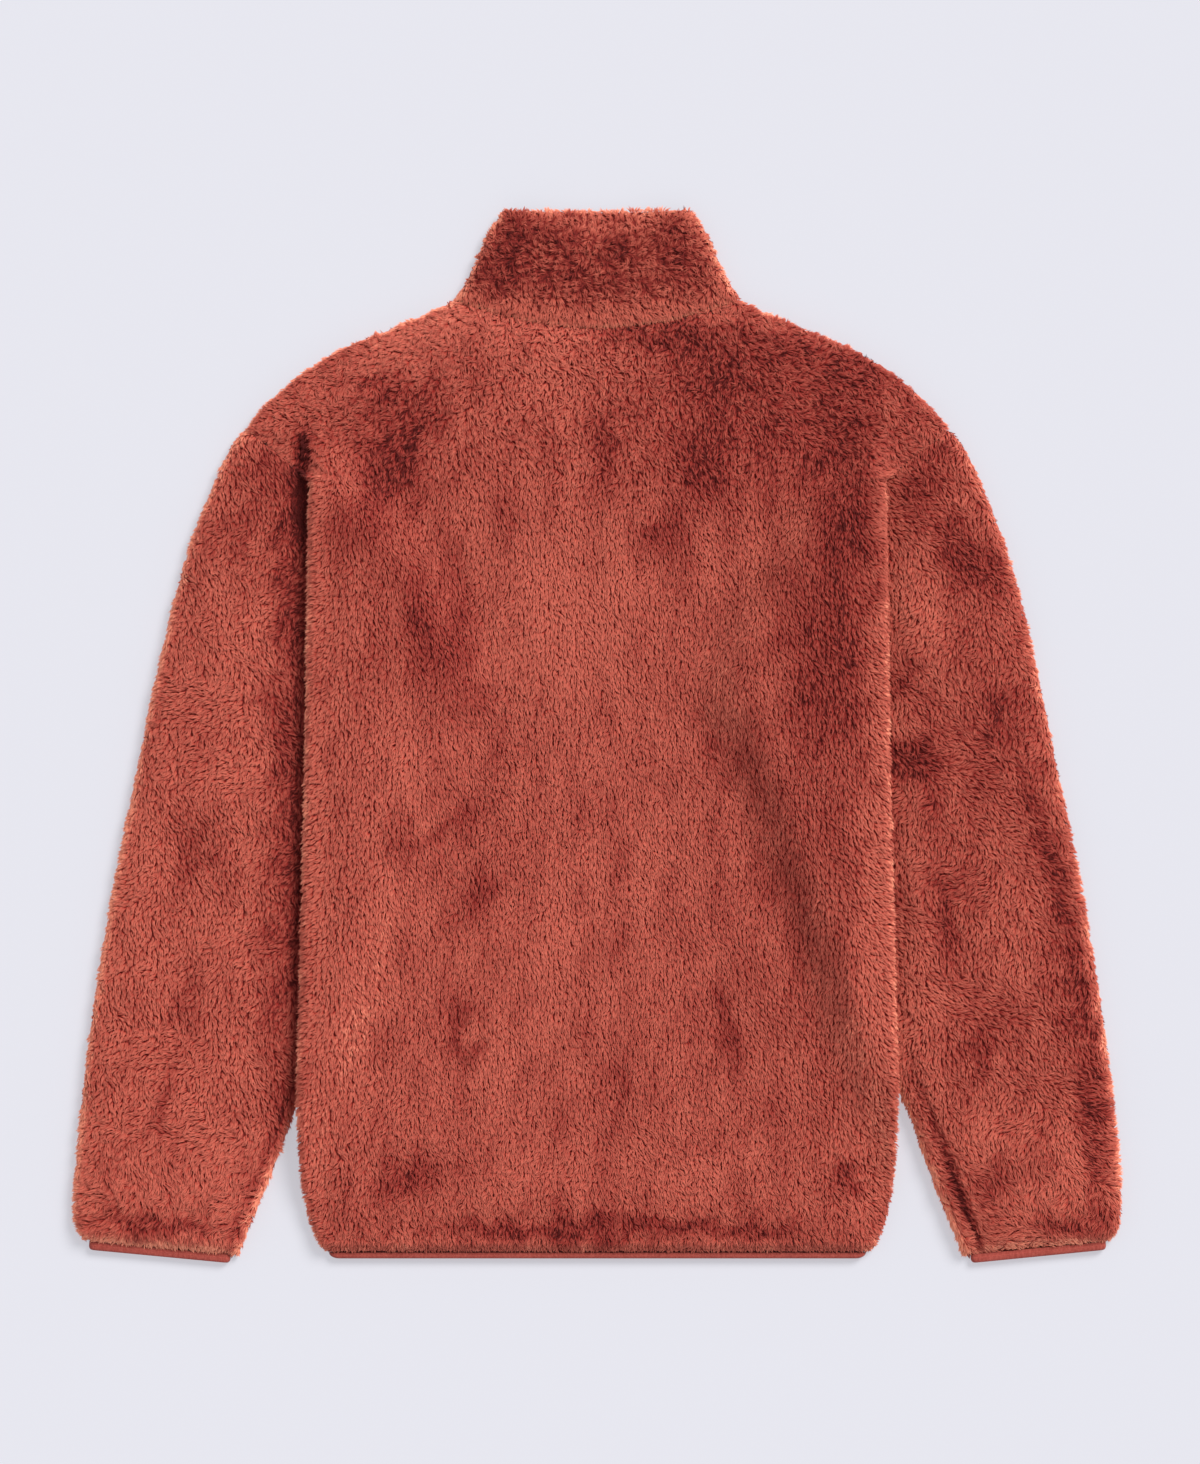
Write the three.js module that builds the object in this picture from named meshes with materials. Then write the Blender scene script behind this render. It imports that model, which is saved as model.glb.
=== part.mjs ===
// A high-pile fleece pullover with a stand collar, laid flat on its front with its back up.
// Millimetres, +Z up. The sleeves lie on the surface and the sides of the body lie over them.
import * as THREE from "three";

// Cloth
const pile = 7; // one layer of fleece, knit and pile together
const layerGap = 0.5; // between two layers that lie on each other
const seamGap = 0.3;
const bothLayers = 2 * pile + layerGap;
const seamDip = 2.5; // how far the pile drops at a seam
const seamReach = 4; // over this distance
const rim = 0.25; // half the height of the thin edge where two rounded layers meet
const bindingLayer = 3.5; // the folded tape over one bound edge
const bound = 0.52; // share of its height that the pile keeps at a bound edge
const boundReach = 9;

// Body: half width of the outline, row by row from the neck to the hem
const neckHalf = 100.5;
const neckY = 310;
const hemY = -367.8;
const backNeckDip = 20;
const frontNeckDip = 62;
const neckDipEnd = 120; // below this height the rows run straight across
const sideOutline = [
  { y: 310, half: 100.5 },
  { y: 303.5, half: 110.5 },
  { y: 297.5, half: 126.5 },
  { y: 291, half: 140 },
  { y: 280.5, half: 168 },
  { y: 269, half: 192 },
  { y: 252, half: 216.5 },
  { y: 235, half: 235.3 },
  { y: 224, half: 245.3 },
  { y: 217, half: 249 },
];
const foldedSide = [
  { y: 182, half: 204 },
  { y: 69, half: 205.5 },
  { y: -40, half: 207.5 },
  { y: -190, half: 211 },
  { y: -250, half: 213 },
  { y: -290, half: 211.5 },
  { y: -315, half: 210 },
  { y: -330, half: 207.5 },
  { y: -344, half: 204.5 },
  { y: -356, half: 200.5 },
  { y: -363.5, half: 196.5 },
  { y: -367.8, half: 192 },
];

// Armhole seam, from the shoulder point down to the armpit
const shoulderPoint = { x: 249, y: 217 };
const armpit = { x: 108, y: 25 };
const armholeBend = 1.84;

// The side fold: the body lies over the sleeve from here down
const foldTop = 238;
const foldX = 205;
const foldWidth = 9;
const foldFoot = 182; // where the armhole seam passes under the fold
const overSleeve = bothLayers + 0.8; // how high the sleeve lifts the body
const liftMargin = 0; // the body has its full height this far in from the sleeve's edge
const liftReach = 40;

// Sleeve: outer folded edge and underarm edge, section by section
const sleeveSections = [
  { outX: 249, outY: 217, inX: 108, inY: 25 },
  { outX: 258, outY: 208, inX: 111, inY: 18 },
  { outX: 271, outY: 182, inX: 117, inY: -1 },
  { outX: 288, outY: 139, inX: 126, inY: -26 },
  { outX: 302, outY: 90, inX: 137, inY: -57 },
  { outX: 317, outY: 24, inX: 152, inY: -98 },
  { outX: 331, outY: -45, inX: 168, inY: -142 },
  { outX: 345, outY: -116, inX: 184, inY: -186 },
  { outX: 357, outY: -187, inX: 201, inY: -231 },
  { outX: 365, outY: -250, inX: 217, inY: -271 },
  { outX: 370, outY: -302, inX: 233, inY: -315 },
  { outX: 371.5, outY: -338, inX: 247, inY: -349 },
  { outX: 368.5, outY: -353, inX: 253, inY: -363 },
  { outX: 364, outY: -359.5, inX: 255.5, inY: -369.8 },
];
const sleeveStations = [
  0, 0.004, 0.012, 0.04, 0.1, 0.18, 0.27, 0.37, 0.47, 0.57, 0.67, 0.76, 0.84, 0.91, 0.955, 0.985, 1,
];
const capFade = 0.3; // the armhole's curve runs out over this share of the sleeve
const sides = [
  { name: "left", sign: -1, underarmShift: 0 },
  { name: "right", sign: 1, underarmShift: 4.5 },
];

// Collar: half width of its folded edges from the neck seam to the top
const collarOutline = [
  { y: 310.3, half: 100.8 },
  { y: 314.5, half: 98.6 },
  { y: 321, half: 94.2 },
  { y: 331, half: 89 },
  { y: 343, half: 84 },
  { y: 354, half: 79.4 },
  { y: 365, half: 72.4 },
  { y: 371, half: 68 },
  { y: 374.5, half: 64.5 },
];
const collarTopDipFront = 26;
const collarSag = 5; // the back of the collar sinks where no front lies under it
const collarSagReach = 22;

// Bound edges
const hemTape = { half: 191, height: 4.3, corner: 7 };
const cuffTape = { height: 6.2, insetOuter: 2.6, insetInner: 5.2, corner: 2.5 };

// Soft folds of the upper layer: ridges are above nought and troughs below
const crown = 3;
const crownReach = 26;
const backFolds = [
  { x: -126, y: 209, long: 90, wide: 32, turn: 58, high: -2.6 },
  { x: -165, y: 239, long: 64, wide: 20, turn: 5, high: 1.8 },
  { x: -41, y: 82, long: 140, wide: 60, turn: 100, high: 2 },
  { x: -112, y: 68, long: 120, wide: 44, turn: 75, high: -2 },
  { x: 19, y: 118, long: 120, wide: 28, turn: 88, high: 1.3 },
  { x: 129, y: 82, long: 180, wide: 44, turn: 95, high: -1.8 },
  { x: 172, y: 196, long: 90, wide: 34, turn: -60, high: -2 },
  { x: 133, y: -92, long: 220, wide: 26, turn: 104, high: -2.4 },
  { x: 186, y: -138, long: 160, wide: 36, turn: 95, high: 1.8 },
  { x: -101, y: -230, long: 120, wide: 26, turn: 90, high: -1.4 },
  { x: 12, y: -265, long: 90, wide: 24, turn: 90, high: -1.2 },
  { x: 79, y: -194, long: 120, wide: 26, turn: 85, high: -1.3 },
  { x: -87, y: -347, long: 140, wide: 20, turn: 2, high: -2.2 },
  { x: 83, y: -349, long: 60, wide: 18, turn: 0, high: -1.6 },
];
const sleeveFolds = {
  left: [
    { x: -272, y: 153, long: 66, wide: 30, turn: 60, high: -2 },
    { x: -258, y: 61, long: 100, wide: 34, turn: 100, high: 1.2 },
    { x: -290, y: -81, long: 60, wide: 34, turn: 90, high: -1.6 },
    { x: -298, y: -187, long: 100, wide: 36, turn: 80, high: -1.9 },
    { x: -346, y: -341, long: 30, wide: 20, turn: 0, high: -2.4 },
    { x: -290, y: -343, long: 46, wide: 20, turn: -6, high: -2.4 },
  ],
  right: [
    { x: 223, y: 86, long: 56, wide: 22, turn: -55, high: 2.4 },
    { x: 229, y: 33, long: 56, wide: 24, turn: -60, high: -2.6 },
    { x: 266, y: 139, long: 66, wide: 28, turn: -60, high: -2 },
    { x: 328, y: -138, long: 130, wide: 26, turn: -80, high: -2 },
    { x: 251, y: -131, long: 76, wide: 24, turn: -75, high: -1.6 },
    { x: 312, y: -300, long: 80, wide: 44, turn: 0, high: 1.6 },
    { x: 356, y: -305, long: 90, wide: 20, turn: 90, high: -1.8 },
  ],
};

// Colours and finish
const fleece = { color: 0xa3493c, roughness: 0.95, metalness: 0 };
const fleeceShade = { color: 0x97402f, roughness: 0.95, metalness: 0 };
const tape = { color: 0xa8483b, roughness: 0.6, metalness: 0 };

// Mesh density
const edgeSteps = [0, 0.25, 1]; // shares of the edge's radius
const liftColumns = [0, 8, 17, 27, 37, 48]; // from just over the sleeve's edge to the flat beside it
const insideSteps = 4; // columns from there to the centre line
const sleeveInsideSteps = 8;
const collarInsideSteps = 12;
const bodyRows = [
  310, 303.5, 297.5, 291, 280.5, 266, 250, 235, 226, 217.5, 207, 197, 189, 182, 175, 160, 135, 105,
  72, 38, 8, -28, -66, -104, -142, -180, -214, -244, -272, -300, -326, -346, -358, -364, -367.8,
];

const clamp01 = (t) => Math.min(1, Math.max(0, t));
const smooth = (t) => clamp01(t) ** 2 * (3 - 2 * clamp01(t));
const mix = (a, b, t) => a + (b - a) * t;

// Straight-line reading of a table whose rows are in order of one column.
function readTable(table, column, value, wanted) {
  const falling = table[0][column] > table[table.length - 1][column];
  const row = table.findIndex((r) => (falling ? r[column] <= value : r[column] >= value));
  if (row === 0) return table[0][wanted];
  if (row < 0) return table[table.length - 1][wanted];
  const [before, after] = [table[row - 1], table[row]];
  const share = (value - before[column]) / (after[column] - before[column]);
  return mix(before[wanted], after[wanted], share);
}

function armholeX(y) {
  const share = clamp01((y - armpit.y) / (shoulderPoint.y - armpit.y));
  return armpit.x + (shoulderPoint.x - armpit.x) * share ** armholeBend;
}

function bodyHalf(y) {
  if (y >= shoulderPoint.y) return readTable(sideOutline, "y", y, "half");
  if (y > foldFoot) return armholeX(y) - seamGap;
  return readTable(foldedSide, "y", y, "half");
}

function foldsAt(folds, x, y) {
  let sum = 0;
  for (const fold of folds) {
    const angle = THREE.MathUtils.degToRad(fold.turn);
    const [dx, dy] = [x - fold.x, y - fold.y];
    const along = (dx * Math.cos(angle) + dy * Math.sin(angle)) / (fold.long / 2);
    const across = (dy * Math.cos(angle) - dx * Math.sin(angle)) / (fold.wide / 2);
    sum += fold.high * Math.exp(-(along ** 2) - across ** 2);
  }
  return sum;
}

// The sleeve's inner boundary, from the fold's foot along the armhole and the underarm.
function sleeveBoundary(side) {
  const armhole = Array.from({ length: 9 }, (_, i) => {
    const y = mix(foldFoot, armpit.y, i / 9);
    return { x: armholeX(y), y };
  });
  const underarm = sleeveSections.map((s, i) => ({
    x: s.inX + (i ? side.underarmShift : 0),
    y: s.inY,
  }));
  return [{ x: foldX + 40, y: foldFoot + 40 }, ...armhole, ...underarm];
}

// Distance from the sleeve's inner boundary, above nought over the sleeve.
function overSleeveBy(x, y, boundary) {
  let nearest = Infinity;
  for (let i = 1; i < boundary.length; i++) {
    const [from, to] = [boundary[i - 1], boundary[i]];
    const [dx, dy] = [to.x - from.x, to.y - from.y];
    const share = clamp01(((x - from.x) * dx + (y - from.y) * dy) / (dx * dx + dy * dy));
    nearest = Math.min(nearest, Math.hypot(x - from.x - share * dx, y - from.y - share * dy));
  }
  return x > readTable(boundary, "y", y, "x") ? nearest : -nearest;
}

// How far the sleeve below lifts the body at a point.
function lift(x, y) {
  const side = sides[x < 0 ? 0 : 1];
  side.boundary ??= sleeveBoundary(side);
  const inside = overSleeveBy(Math.abs(x), y, side.boundary);
  const fadeUp = smooth((foldTop - y) / (foldTop - foldFoot));
  return overSleeve * smooth(1 + (inside + liftMargin) / liftReach) * fadeUp;
}

// Distances of the columns from the outline, from the edge to the centre line. They crowd where
// the cloth turns: at the edge, at the side fold and along the edge of the sleeve below.
function columnDistances(y, half) {
  const onSeam = y <= shoulderPoint.y && y > foldFoot;
  const radius = onSeam ? seamReach : bothLayers / 2;
  const alongSeam = onSeam ? half - foldX - 1 : 0;
  const alongShoulder = y > shoulderPoint.y ? (half - neckHalf) * 0.25 : 0;
  const foldStart = Math.max(radius + 2, alongSeam, alongShoulder);
  const foldEnd = foldStart + foldWidth;
  const sleeveEdge = readTable(sleeveBoundary(sides[0]), "y", y, "x");
  const liftStart = Math.max(half - sleeveEdge - 5, foldEnd + 5);
  const liftEnd = liftStart + liftColumns[liftColumns.length - 1];
  const edge = edgeSteps.map((share) => share * radius);
  const fold = [foldStart, foldStart + foldWidth * 0.45, foldEnd, mix(foldEnd, liftStart, 0.5)];
  const lifted = liftColumns.map((d) => liftStart + d);
  const inside = Array.from({ length: insideSteps }, (_, i) =>
    mix(liftEnd, half, (i + 1) / insideSteps),
  );
  return { distances: [...edge, ...fold, ...lifted, ...inside], radius, foldStart };
}

// Height of the rounded edge, as a share of the layer.
function edgeShare(distance, radius) {
  const least = rim / pile;
  if (distance >= radius) return 1;
  const arc = Math.sqrt(1 - (1 - distance / radius) ** 2);
  const flat = Math.max(0, 1 - radius / pile);
  return Math.max(least, flat + (1 - flat) * arc);
}

function boundShare(y) {
  return mix(bound, 1, smooth((y - hemY) / boundReach) ** 0.6);
}

function neckShare(y) {
  const down = clamp01((neckY - y) / seamReach);
  return 1 - (seamDip / pile) * (1 - Math.sqrt(1 - (1 - down) ** 2));
}

function neckDip(x, y, dip) {
  const across = Math.max(0, 1 - (x / neckHalf) ** 2);
  return dip * across * smooth((y - neckDipEnd) / (neckY - neckDipEnd));
}

// One panel of the body as two grids of points, its upper and its lower face.
function bodyPanel(isBack) {
  const upper = [];
  const lower = [];
  for (const y of bodyRows) {
    const half = bodyHalf(y);
    const { distances, radius, foldStart } = columnDistances(y, half);
    const signed = [
      ...distances.map((d) => ({ sign: -1, d })),
      ...distances.slice(0, -1).reverse().map((d) => ({ sign: 1, d })),
    ];
    const rowUpper = [];
    const rowLower = [];
    for (const { sign, d } of signed) {
      const x = sign * (half - d);
      const onTongue = y > foldFoot && y < foldTop;
      const drop = onTongue ? smooth((d - foldStart) / foldWidth) : 1;
      const base = lift(x, y) * drop;
      const layer = pile * boundShare(y);
      const share = edgeShare(d, radius);
      const placedY = y - neckDip(x, y, isBack ? backNeckDip : frontNeckDip);
      const middle = base + layer + layerGap / 2;
      if (isBack) {
        const edgeFade = smooth((d - radius) / crownReach);
        const endFade = smooth((y - hemY) / crownReach) * smooth((neckY - y) / crownReach);
        const rise = Math.max(0, crown + foldsAt(backFolds, x, y)) * edgeFade * endFade;
        const bottom = middle + layerGap / 2 + rise;
        rowLower.push(new THREE.Vector3(x, placedY, bottom));
        rowUpper.push(new THREE.Vector3(x, placedY, bottom + layer * share * neckShare(y)));
      } else {
        const top = middle - layerGap / 2;
        rowUpper.push(new THREE.Vector3(x, placedY, top));
        rowLower.push(new THREE.Vector3(x, placedY, top - layer * share));
      }
    }
    upper.push(rowUpper);
    lower.push(rowLower);
  }
  return { upper, lower };
}

function geometryOf(points, faces) {
  const geometry = new THREE.BufferGeometry().setFromPoints(points);
  geometry.setIndex(faces);
  geometry.computeVertexNormals();
  return geometry;
}

// Closes two grids of equal size into one body. Rows run down and columns run to the right.
function closedSheet({ upper, lower }) {
  const rows = upper.length;
  const columns = upper[0].length;
  const points = [...upper.flat(), ...lower.flat()];
  const top = (r, c) => r * columns + c;
  const under = (r, c) => rows * columns + r * columns + c;
  const faces = [];
  const quad = (a, b, c, d) => faces.push(a, b, c, a, c, d);
  for (let r = 0; r < rows - 1; r++) {
    for (let c = 0; c < columns - 1; c++) {
      quad(top(r, c), top(r + 1, c), top(r + 1, c + 1), top(r, c + 1));
      quad(under(r, c), under(r, c + 1), under(r + 1, c + 1), under(r + 1, c));
    }
    quad(top(r, 0), under(r, 0), under(r + 1, 0), top(r + 1, 0));
    const last = columns - 1;
    quad(top(r, last), top(r + 1, last), under(r + 1, last), under(r, last));
  }
  for (let c = 0; c < columns - 1; c++) {
    quad(top(0, c), top(0, c + 1), under(0, c + 1), under(0, c));
    const last = rows - 1;
    quad(top(last, c), under(last, c), under(last, c + 1), top(last, c + 1));
  }
  return geometryOf(points, faces);
}

// A tube from rings: each ring has an outer and an inner loop with the same number of points.
function openTube(rings) {
  const count = rings[0].outer.length;
  const points = rings.flatMap((ring) => [...ring.outer, ...ring.inner]);
  const outer = (r, i) => r * 2 * count + (i % count);
  const inner = (r, i) => r * 2 * count + count + (i % count);
  const faces = [];
  const quad = (a, b, c, d) => faces.push(a, b, c, a, c, d);
  const last = rings.length - 1;
  for (let i = 0; i < count; i++) {
    for (let r = 0; r < last; r++) {
      quad(outer(r, i), outer(r + 1, i), outer(r + 1, i + 1), outer(r, i + 1));
      quad(inner(r, i), inner(r, i + 1), inner(r + 1, i + 1), inner(r + 1, i));
    }
    quad(outer(0, i), outer(0, i + 1), inner(0, i + 1), inner(0, i));
    quad(outer(last, i), inner(last, i), inner(last, i + 1), outer(last, i + 1));
  }
  return geometryOf(points, faces);
}

// The distances of a flat ring's points from one edge, over its whole width.
function ringDistances(width, radius, insideCount) {
  const edge = edgeSteps.map((share) => share * radius);
  const inside = Array.from({ length: insideCount - 1 }, (_, i) =>
    mix(radius, width - radius, (i + 1) / insideCount),
  );
  return [...edge, ...inside, ...edge.map((d) => width - d).reverse()];
}

// Keeps an inner loop's points one wall away from both edges, in order and apart.
function innerDistance(distance, index, count, width, wall) {
  const step = 0.04 * wall;
  const least = wall + index * step;
  const most = width - wall - (count - 1 - index) * step;
  return Math.min(Math.max(distance, least), most);
}

// One flattened ring. place gives the plan position at a distance across, rise lifts the upper layer.
function flatRing({ width, layer, gap, radius, insideCount, place, rise, seam }) {
  const distances = ringDistances(width, radius, insideCount);
  const count = distances.length;
  const middle = layer + gap / 2;
  const topSide = { outer: [], inner: [] };
  const underSide = { outer: [], inner: [] };
  distances.forEach((d, i) => {
    const toEdge = Math.min(d, width - d);
    const arc = toEdge >= radius ? 1 : Math.sqrt(1 - (1 - toEdge / radius) ** 2);
    const halfHeight = Math.max(rim, middle * arc);
    const lifted = rise(d);
    const within = innerDistance(d, i, count, width, layer);
    topSide.outer.push(place(d, middle + halfHeight * seam + lifted * arc));
    underSide.outer.push(place(d, middle - halfHeight));
    topSide.inner.push(place(within, middle + gap / 2 + rise(within)));
    underSide.inner.push(place(within, middle - gap / 2));
  });
  return {
    outer: [...topSide.outer, ...underSide.outer.reverse()],
    inner: [...topSide.inner, ...underSide.inner.reverse()],
  };
}

// Turns a mirrored or reversed tube the right way out.
function facingOut(geometry) {
  const index = geometry.getIndex();
  const at = geometry.getAttribute("position");
  const [a, b, c] = [new THREE.Vector3(), new THREE.Vector3(), new THREE.Vector3()];
  let volume = 0;
  for (let i = 0; i < index.count; i += 3) {
    a.fromBufferAttribute(at, index.getX(i));
    b.fromBufferAttribute(at, index.getX(i + 1));
    c.fromBufferAttribute(at, index.getX(i + 2));
    volume += a.dot(b.cross(c));
  }
  if (volume < 0) {
    for (let i = 0; i < index.count; i += 3) {
      const second = index.getX(i + 1);
      index.setX(i + 1, index.getX(i + 2));
      index.setX(i + 2, second);
    }
    geometry.computeVertexNormals();
  }
  return geometry;
}

// A smooth reading of the sleeve's sections, t from 0 at the armhole to 1 at the cuff.
function sleeveEdge(xColumn, yColumn, t) {
  const points = sleeveSections.map((s) => new THREE.Vector3(s[xColumn], s[yColumn], 0));
  const curve = new THREE.CatmullRomCurve3(points, false, "centripetal");
  return curve.getPoint(t);
}

function sleeveSection(side, t) {
  const out = sleeveEdge("outX", "outY", t);
  const under = sleeveEdge("inX", "inY", t);
  under.x += side.underarmShift * smooth(t / capFade);
  const width = out.distanceTo(under);
  const bulge = 1 - smooth(t / capFade);
  const straightX = (s) => mix(shoulderPoint.x, armpit.x, s);
  const seamX = (s) => armholeX(mix(shoulderPoint.y, armpit.y, s)) + seamGap;
  const place = (d, z) => {
    const s = d / width;
    const x = mix(out.x, under.x, s) + bulge * (seamX(s) - straightX(s));
    return new THREE.Vector3(side.sign * x, mix(out.y, under.y, s), z);
  };
  return { width, place };
}

function sleeve(side) {
  const cuff = sleeveSection(side, 1);
  const rings = sleeveStations.map((t) => {
    const { width, place } = sleeveSection(side, t);
    const fromSeam = place(width / 2, 0).distanceTo(sleeveSection(side, 0).place(width / 2, 0));
    const fromCuff = place(width / 2, 0).distanceTo(cuff.place(cuff.width / 2, 0));
    const dip = clamp01(fromSeam / seamReach);
    const seam = 1 - (seamDip / bothLayers) * 2 * (1 - Math.sqrt(1 - (1 - dip) ** 2));
    const layer = pile * mix(bound, 1, smooth(fromCuff / boundReach) ** 0.6);
    const rise = (d) => {
      const at = place(d, 0);
      const clearOfBody = Math.abs(at.x) - bodyHalf(at.y) - 4;
      const inSight = smooth(clearOfBody / 18) * smooth(fromSeam / crownReach);
      const offEdge = smooth(Math.min(d, width - d) / crownReach) * smooth(fromCuff / crownReach);
      const folds = foldsAt(sleeveFolds[side.name], at.x, at.y);
      return Math.max(0, crown + folds) * inSight * offEdge;
    };
    return flatRing({
      width,
      layer,
      gap: layerGap,
      radius: layer + layerGap / 2,
      insideCount: sleeveInsideSteps,
      place,
      rise,
      seam,
    });
  });
  return facingOut(openTube(rings));
}

// A folded tape over the open end of a sleeve.
function cuffBinding(side) {
  const { width, place } = sleeveSection(side, 1);
  const across = place(width, 0).sub(place(0, 0)).normalize();
  const down = new THREE.Vector3(across.y, -across.x, 0);
  if (down.y > 0) down.negate();
  const { height, insetOuter, insetInner, corner } = cuffTape;
  const steps = [0, 0.5, 0.85, 1];
  const rings = steps.map((share) => {
    const rounding = corner * (1 - Math.sqrt(1 - Math.max(0, share - 0.5) ** 2 * 4));
    const from = insetOuter + rounding;
    const taped = width - insetOuter - insetInner - 2 * rounding;
    const shift = down.clone().multiplyScalar(seamGap + height * share);
    return flatRing({
      width: taped,
      layer: bindingLayer * mix(1, 0.72, Math.max(0, share - 0.5) * 2),
      gap: layerGap,
      radius: bindingLayer,
      insideCount: 5,
      place: (d, z) => place(from + d, z).add(shift),
      rise: () => 0,
      seam: 1,
    });
  });
  return facingOut(openTube(rings));
}

// A folded tape over the hem, round both panels.
function hemBinding() {
  const { half, height, corner } = hemTape;
  const steps = [0, 0.4, 0.8, 1];
  const rings = steps.map((share) => {
    const rounding = corner * (1 - Math.sqrt(1 - share ** 2 * 0.96));
    const taped = half - rounding;
    const y = hemY - seamGap - height * share;
    return flatRing({
      width: 2 * taped,
      layer: bindingLayer * mix(1, 0.72, Math.max(0, share - 0.5) * 2),
      gap: layerGap,
      radius: bindingLayer,
      insideCount: 12,
      place: (d, z) => new THREE.Vector3(d - taped, y, z),
      rise: () => 0,
      seam: 1,
    });
  });
  return facingOut(openTube(rings));
}

// The stand collar, a closed band folded flat at its two sides.
function collar() {
  const bottom = collarOutline[0].y;
  const top = collarOutline[collarOutline.length - 1].y;
  const rings = collarOutline.map(({ y, half }) => {
    const up = (y - bottom) / (top - bottom);
    const width = 2 * half;
    const shape = (x) => Math.max(0, 1 - (x / Math.min(half, neckHalf)) ** 2);
    const fromTop = top - y;
    const topShare = mix(0.35, 1, Math.sqrt(1 - (1 - clamp01(fromTop / 6)) ** 2));
    const fromSeam = clamp01((y - bottom) / seamReach);
    const seam = 1 - (seamDip / bothLayers) * 2 * (1 - Math.sqrt(1 - (1 - fromSeam) ** 2));
    const middle = pile + layerGap / 2;
    const frontTop = (x) => top - collarTopDipFront * shape(x);
    const backDip = (x) => mix(backNeckDip, 1.5, smooth(up)) * shape(x);
    const frontDip = (x) => mix(frontNeckDip, collarTopDipFront, up) * shape(x);
    const place = (d, z) => {
      const x = d - half;
      const isBack = z > middle;
      const placedY = y - (isBack ? backDip(x) : frontDip(x));
      const past = smooth((placedY - frontTop(x) - 1) / collarSagReach);
      const sink = isBack ? collarSag * past * shape(x) : 0;
      return new THREE.Vector3(x, placedY, z - sink);
    };
    return flatRing({
      width,
      layer: pile,
      gap: layerGap,
      radius: bothLayers / 2,
      insideCount: collarInsideSteps,
      place,
      rise: () => 0,
      seam: seam * topShare,
    });
  });
  return facingOut(openTube(rings));
}

function piece(name, geometry, finish) {
  const mesh = new THREE.Mesh(geometry, new THREE.MeshStandardMaterial(finish));
  mesh.name = name;
  return mesh;
}

const pullover = new THREE.Group();
pullover.name = "fleece_pullover";
pullover.add(piece("back_panel", closedSheet(bodyPanel(true)), fleece));
pullover.add(piece("front_panel", closedSheet(bodyPanel(false)), fleeceShade));
for (const side of sides) {
  pullover.add(piece(`sleeve_${side.name}`, sleeve(side), fleece));
  pullover.add(piece(`cuff_binding_${side.name}`, cuffBinding(side), tape));
}
pullover.add(piece("collar", collar(), fleeceShade));
pullover.add(piece("hem_binding", hemBinding(), tape));

// The origin is at the middle of the surface that the pullover lies on.
const box = new THREE.Box3().setFromObject(pullover);
const middle = box.getCenter(new THREE.Vector3());
pullover.position.set(-middle.x, -middle.y, -box.min.z);

export default pullover;
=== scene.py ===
# A high-pile fleece pullover laid flat with its back up: cloth, pile, bindings and their finishes.
# Forms are worked out in millimetres and turned into metres when a mesh is made.
import math

import bmesh
import bpy
import numpy as np
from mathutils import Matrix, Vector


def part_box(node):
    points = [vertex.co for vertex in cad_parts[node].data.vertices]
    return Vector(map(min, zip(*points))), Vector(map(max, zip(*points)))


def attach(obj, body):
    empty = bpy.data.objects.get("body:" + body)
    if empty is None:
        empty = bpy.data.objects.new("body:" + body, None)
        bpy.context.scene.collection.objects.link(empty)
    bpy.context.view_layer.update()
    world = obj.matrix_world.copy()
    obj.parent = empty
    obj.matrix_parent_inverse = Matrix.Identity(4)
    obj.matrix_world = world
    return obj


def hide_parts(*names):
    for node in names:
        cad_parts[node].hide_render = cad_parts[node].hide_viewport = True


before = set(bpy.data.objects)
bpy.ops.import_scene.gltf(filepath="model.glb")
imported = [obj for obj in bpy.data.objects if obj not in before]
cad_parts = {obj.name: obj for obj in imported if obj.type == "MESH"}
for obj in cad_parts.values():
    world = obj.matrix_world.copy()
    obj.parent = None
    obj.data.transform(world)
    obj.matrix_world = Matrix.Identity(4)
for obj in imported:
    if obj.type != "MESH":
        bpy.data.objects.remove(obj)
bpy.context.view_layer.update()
print("frame loaded")

view = {
    "photoHigh": 1464,
    "pixelSize": 0.71,  # mm
    "middle": (1.8, 2.5),  # mm, the place in the middle of the picture
    "clothHeight": 14,  # mm, where the pixel size holds
    "distance": 5000,  # mm
    "sensorHigh": 24,
    "farthest": 50,  # m
}
light = {
    "sunFrom": (0.58, 0.70, 0.86),
    "sunStrength": 2.8,
    "sunSoftness": 26,  # degrees
    "sunColour": (1.0, 0.985, 0.96),
    "skyColour": (0.93, 0.95, 1.0),
    "skyStrength": 0.5,
}
floorLook = {
    "size": 6000,  # mm
    "colour": (0.336, 0.336, 0.366),
    "glow": (0.44, 0.44, 0.472),  # a light table shines through the pale floor
    "roughness": 0.9,
}


def addObject(name, data):
    made = bpy.data.objects.new(name, data)
    bpy.context.collection.objects.link(made)
    return made


def makeCamera():
    data = bpy.data.cameras.new("camera")
    data.sensor_fit = "VERTICAL"
    data.sensor_height = view["sensorHigh"]
    data.lens = view["sensorHigh"] * view["distance"] / (view["photoHigh"] * view["pixelSize"])
    data.clip_end = view["farthest"]
    camera = addObject("camera", data)
    x, y = view["middle"]
    camera.location = (x / 1000, y / 1000, (view["clothHeight"] + view["distance"]) / 1000)
    bpy.context.scene.camera = camera


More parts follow.
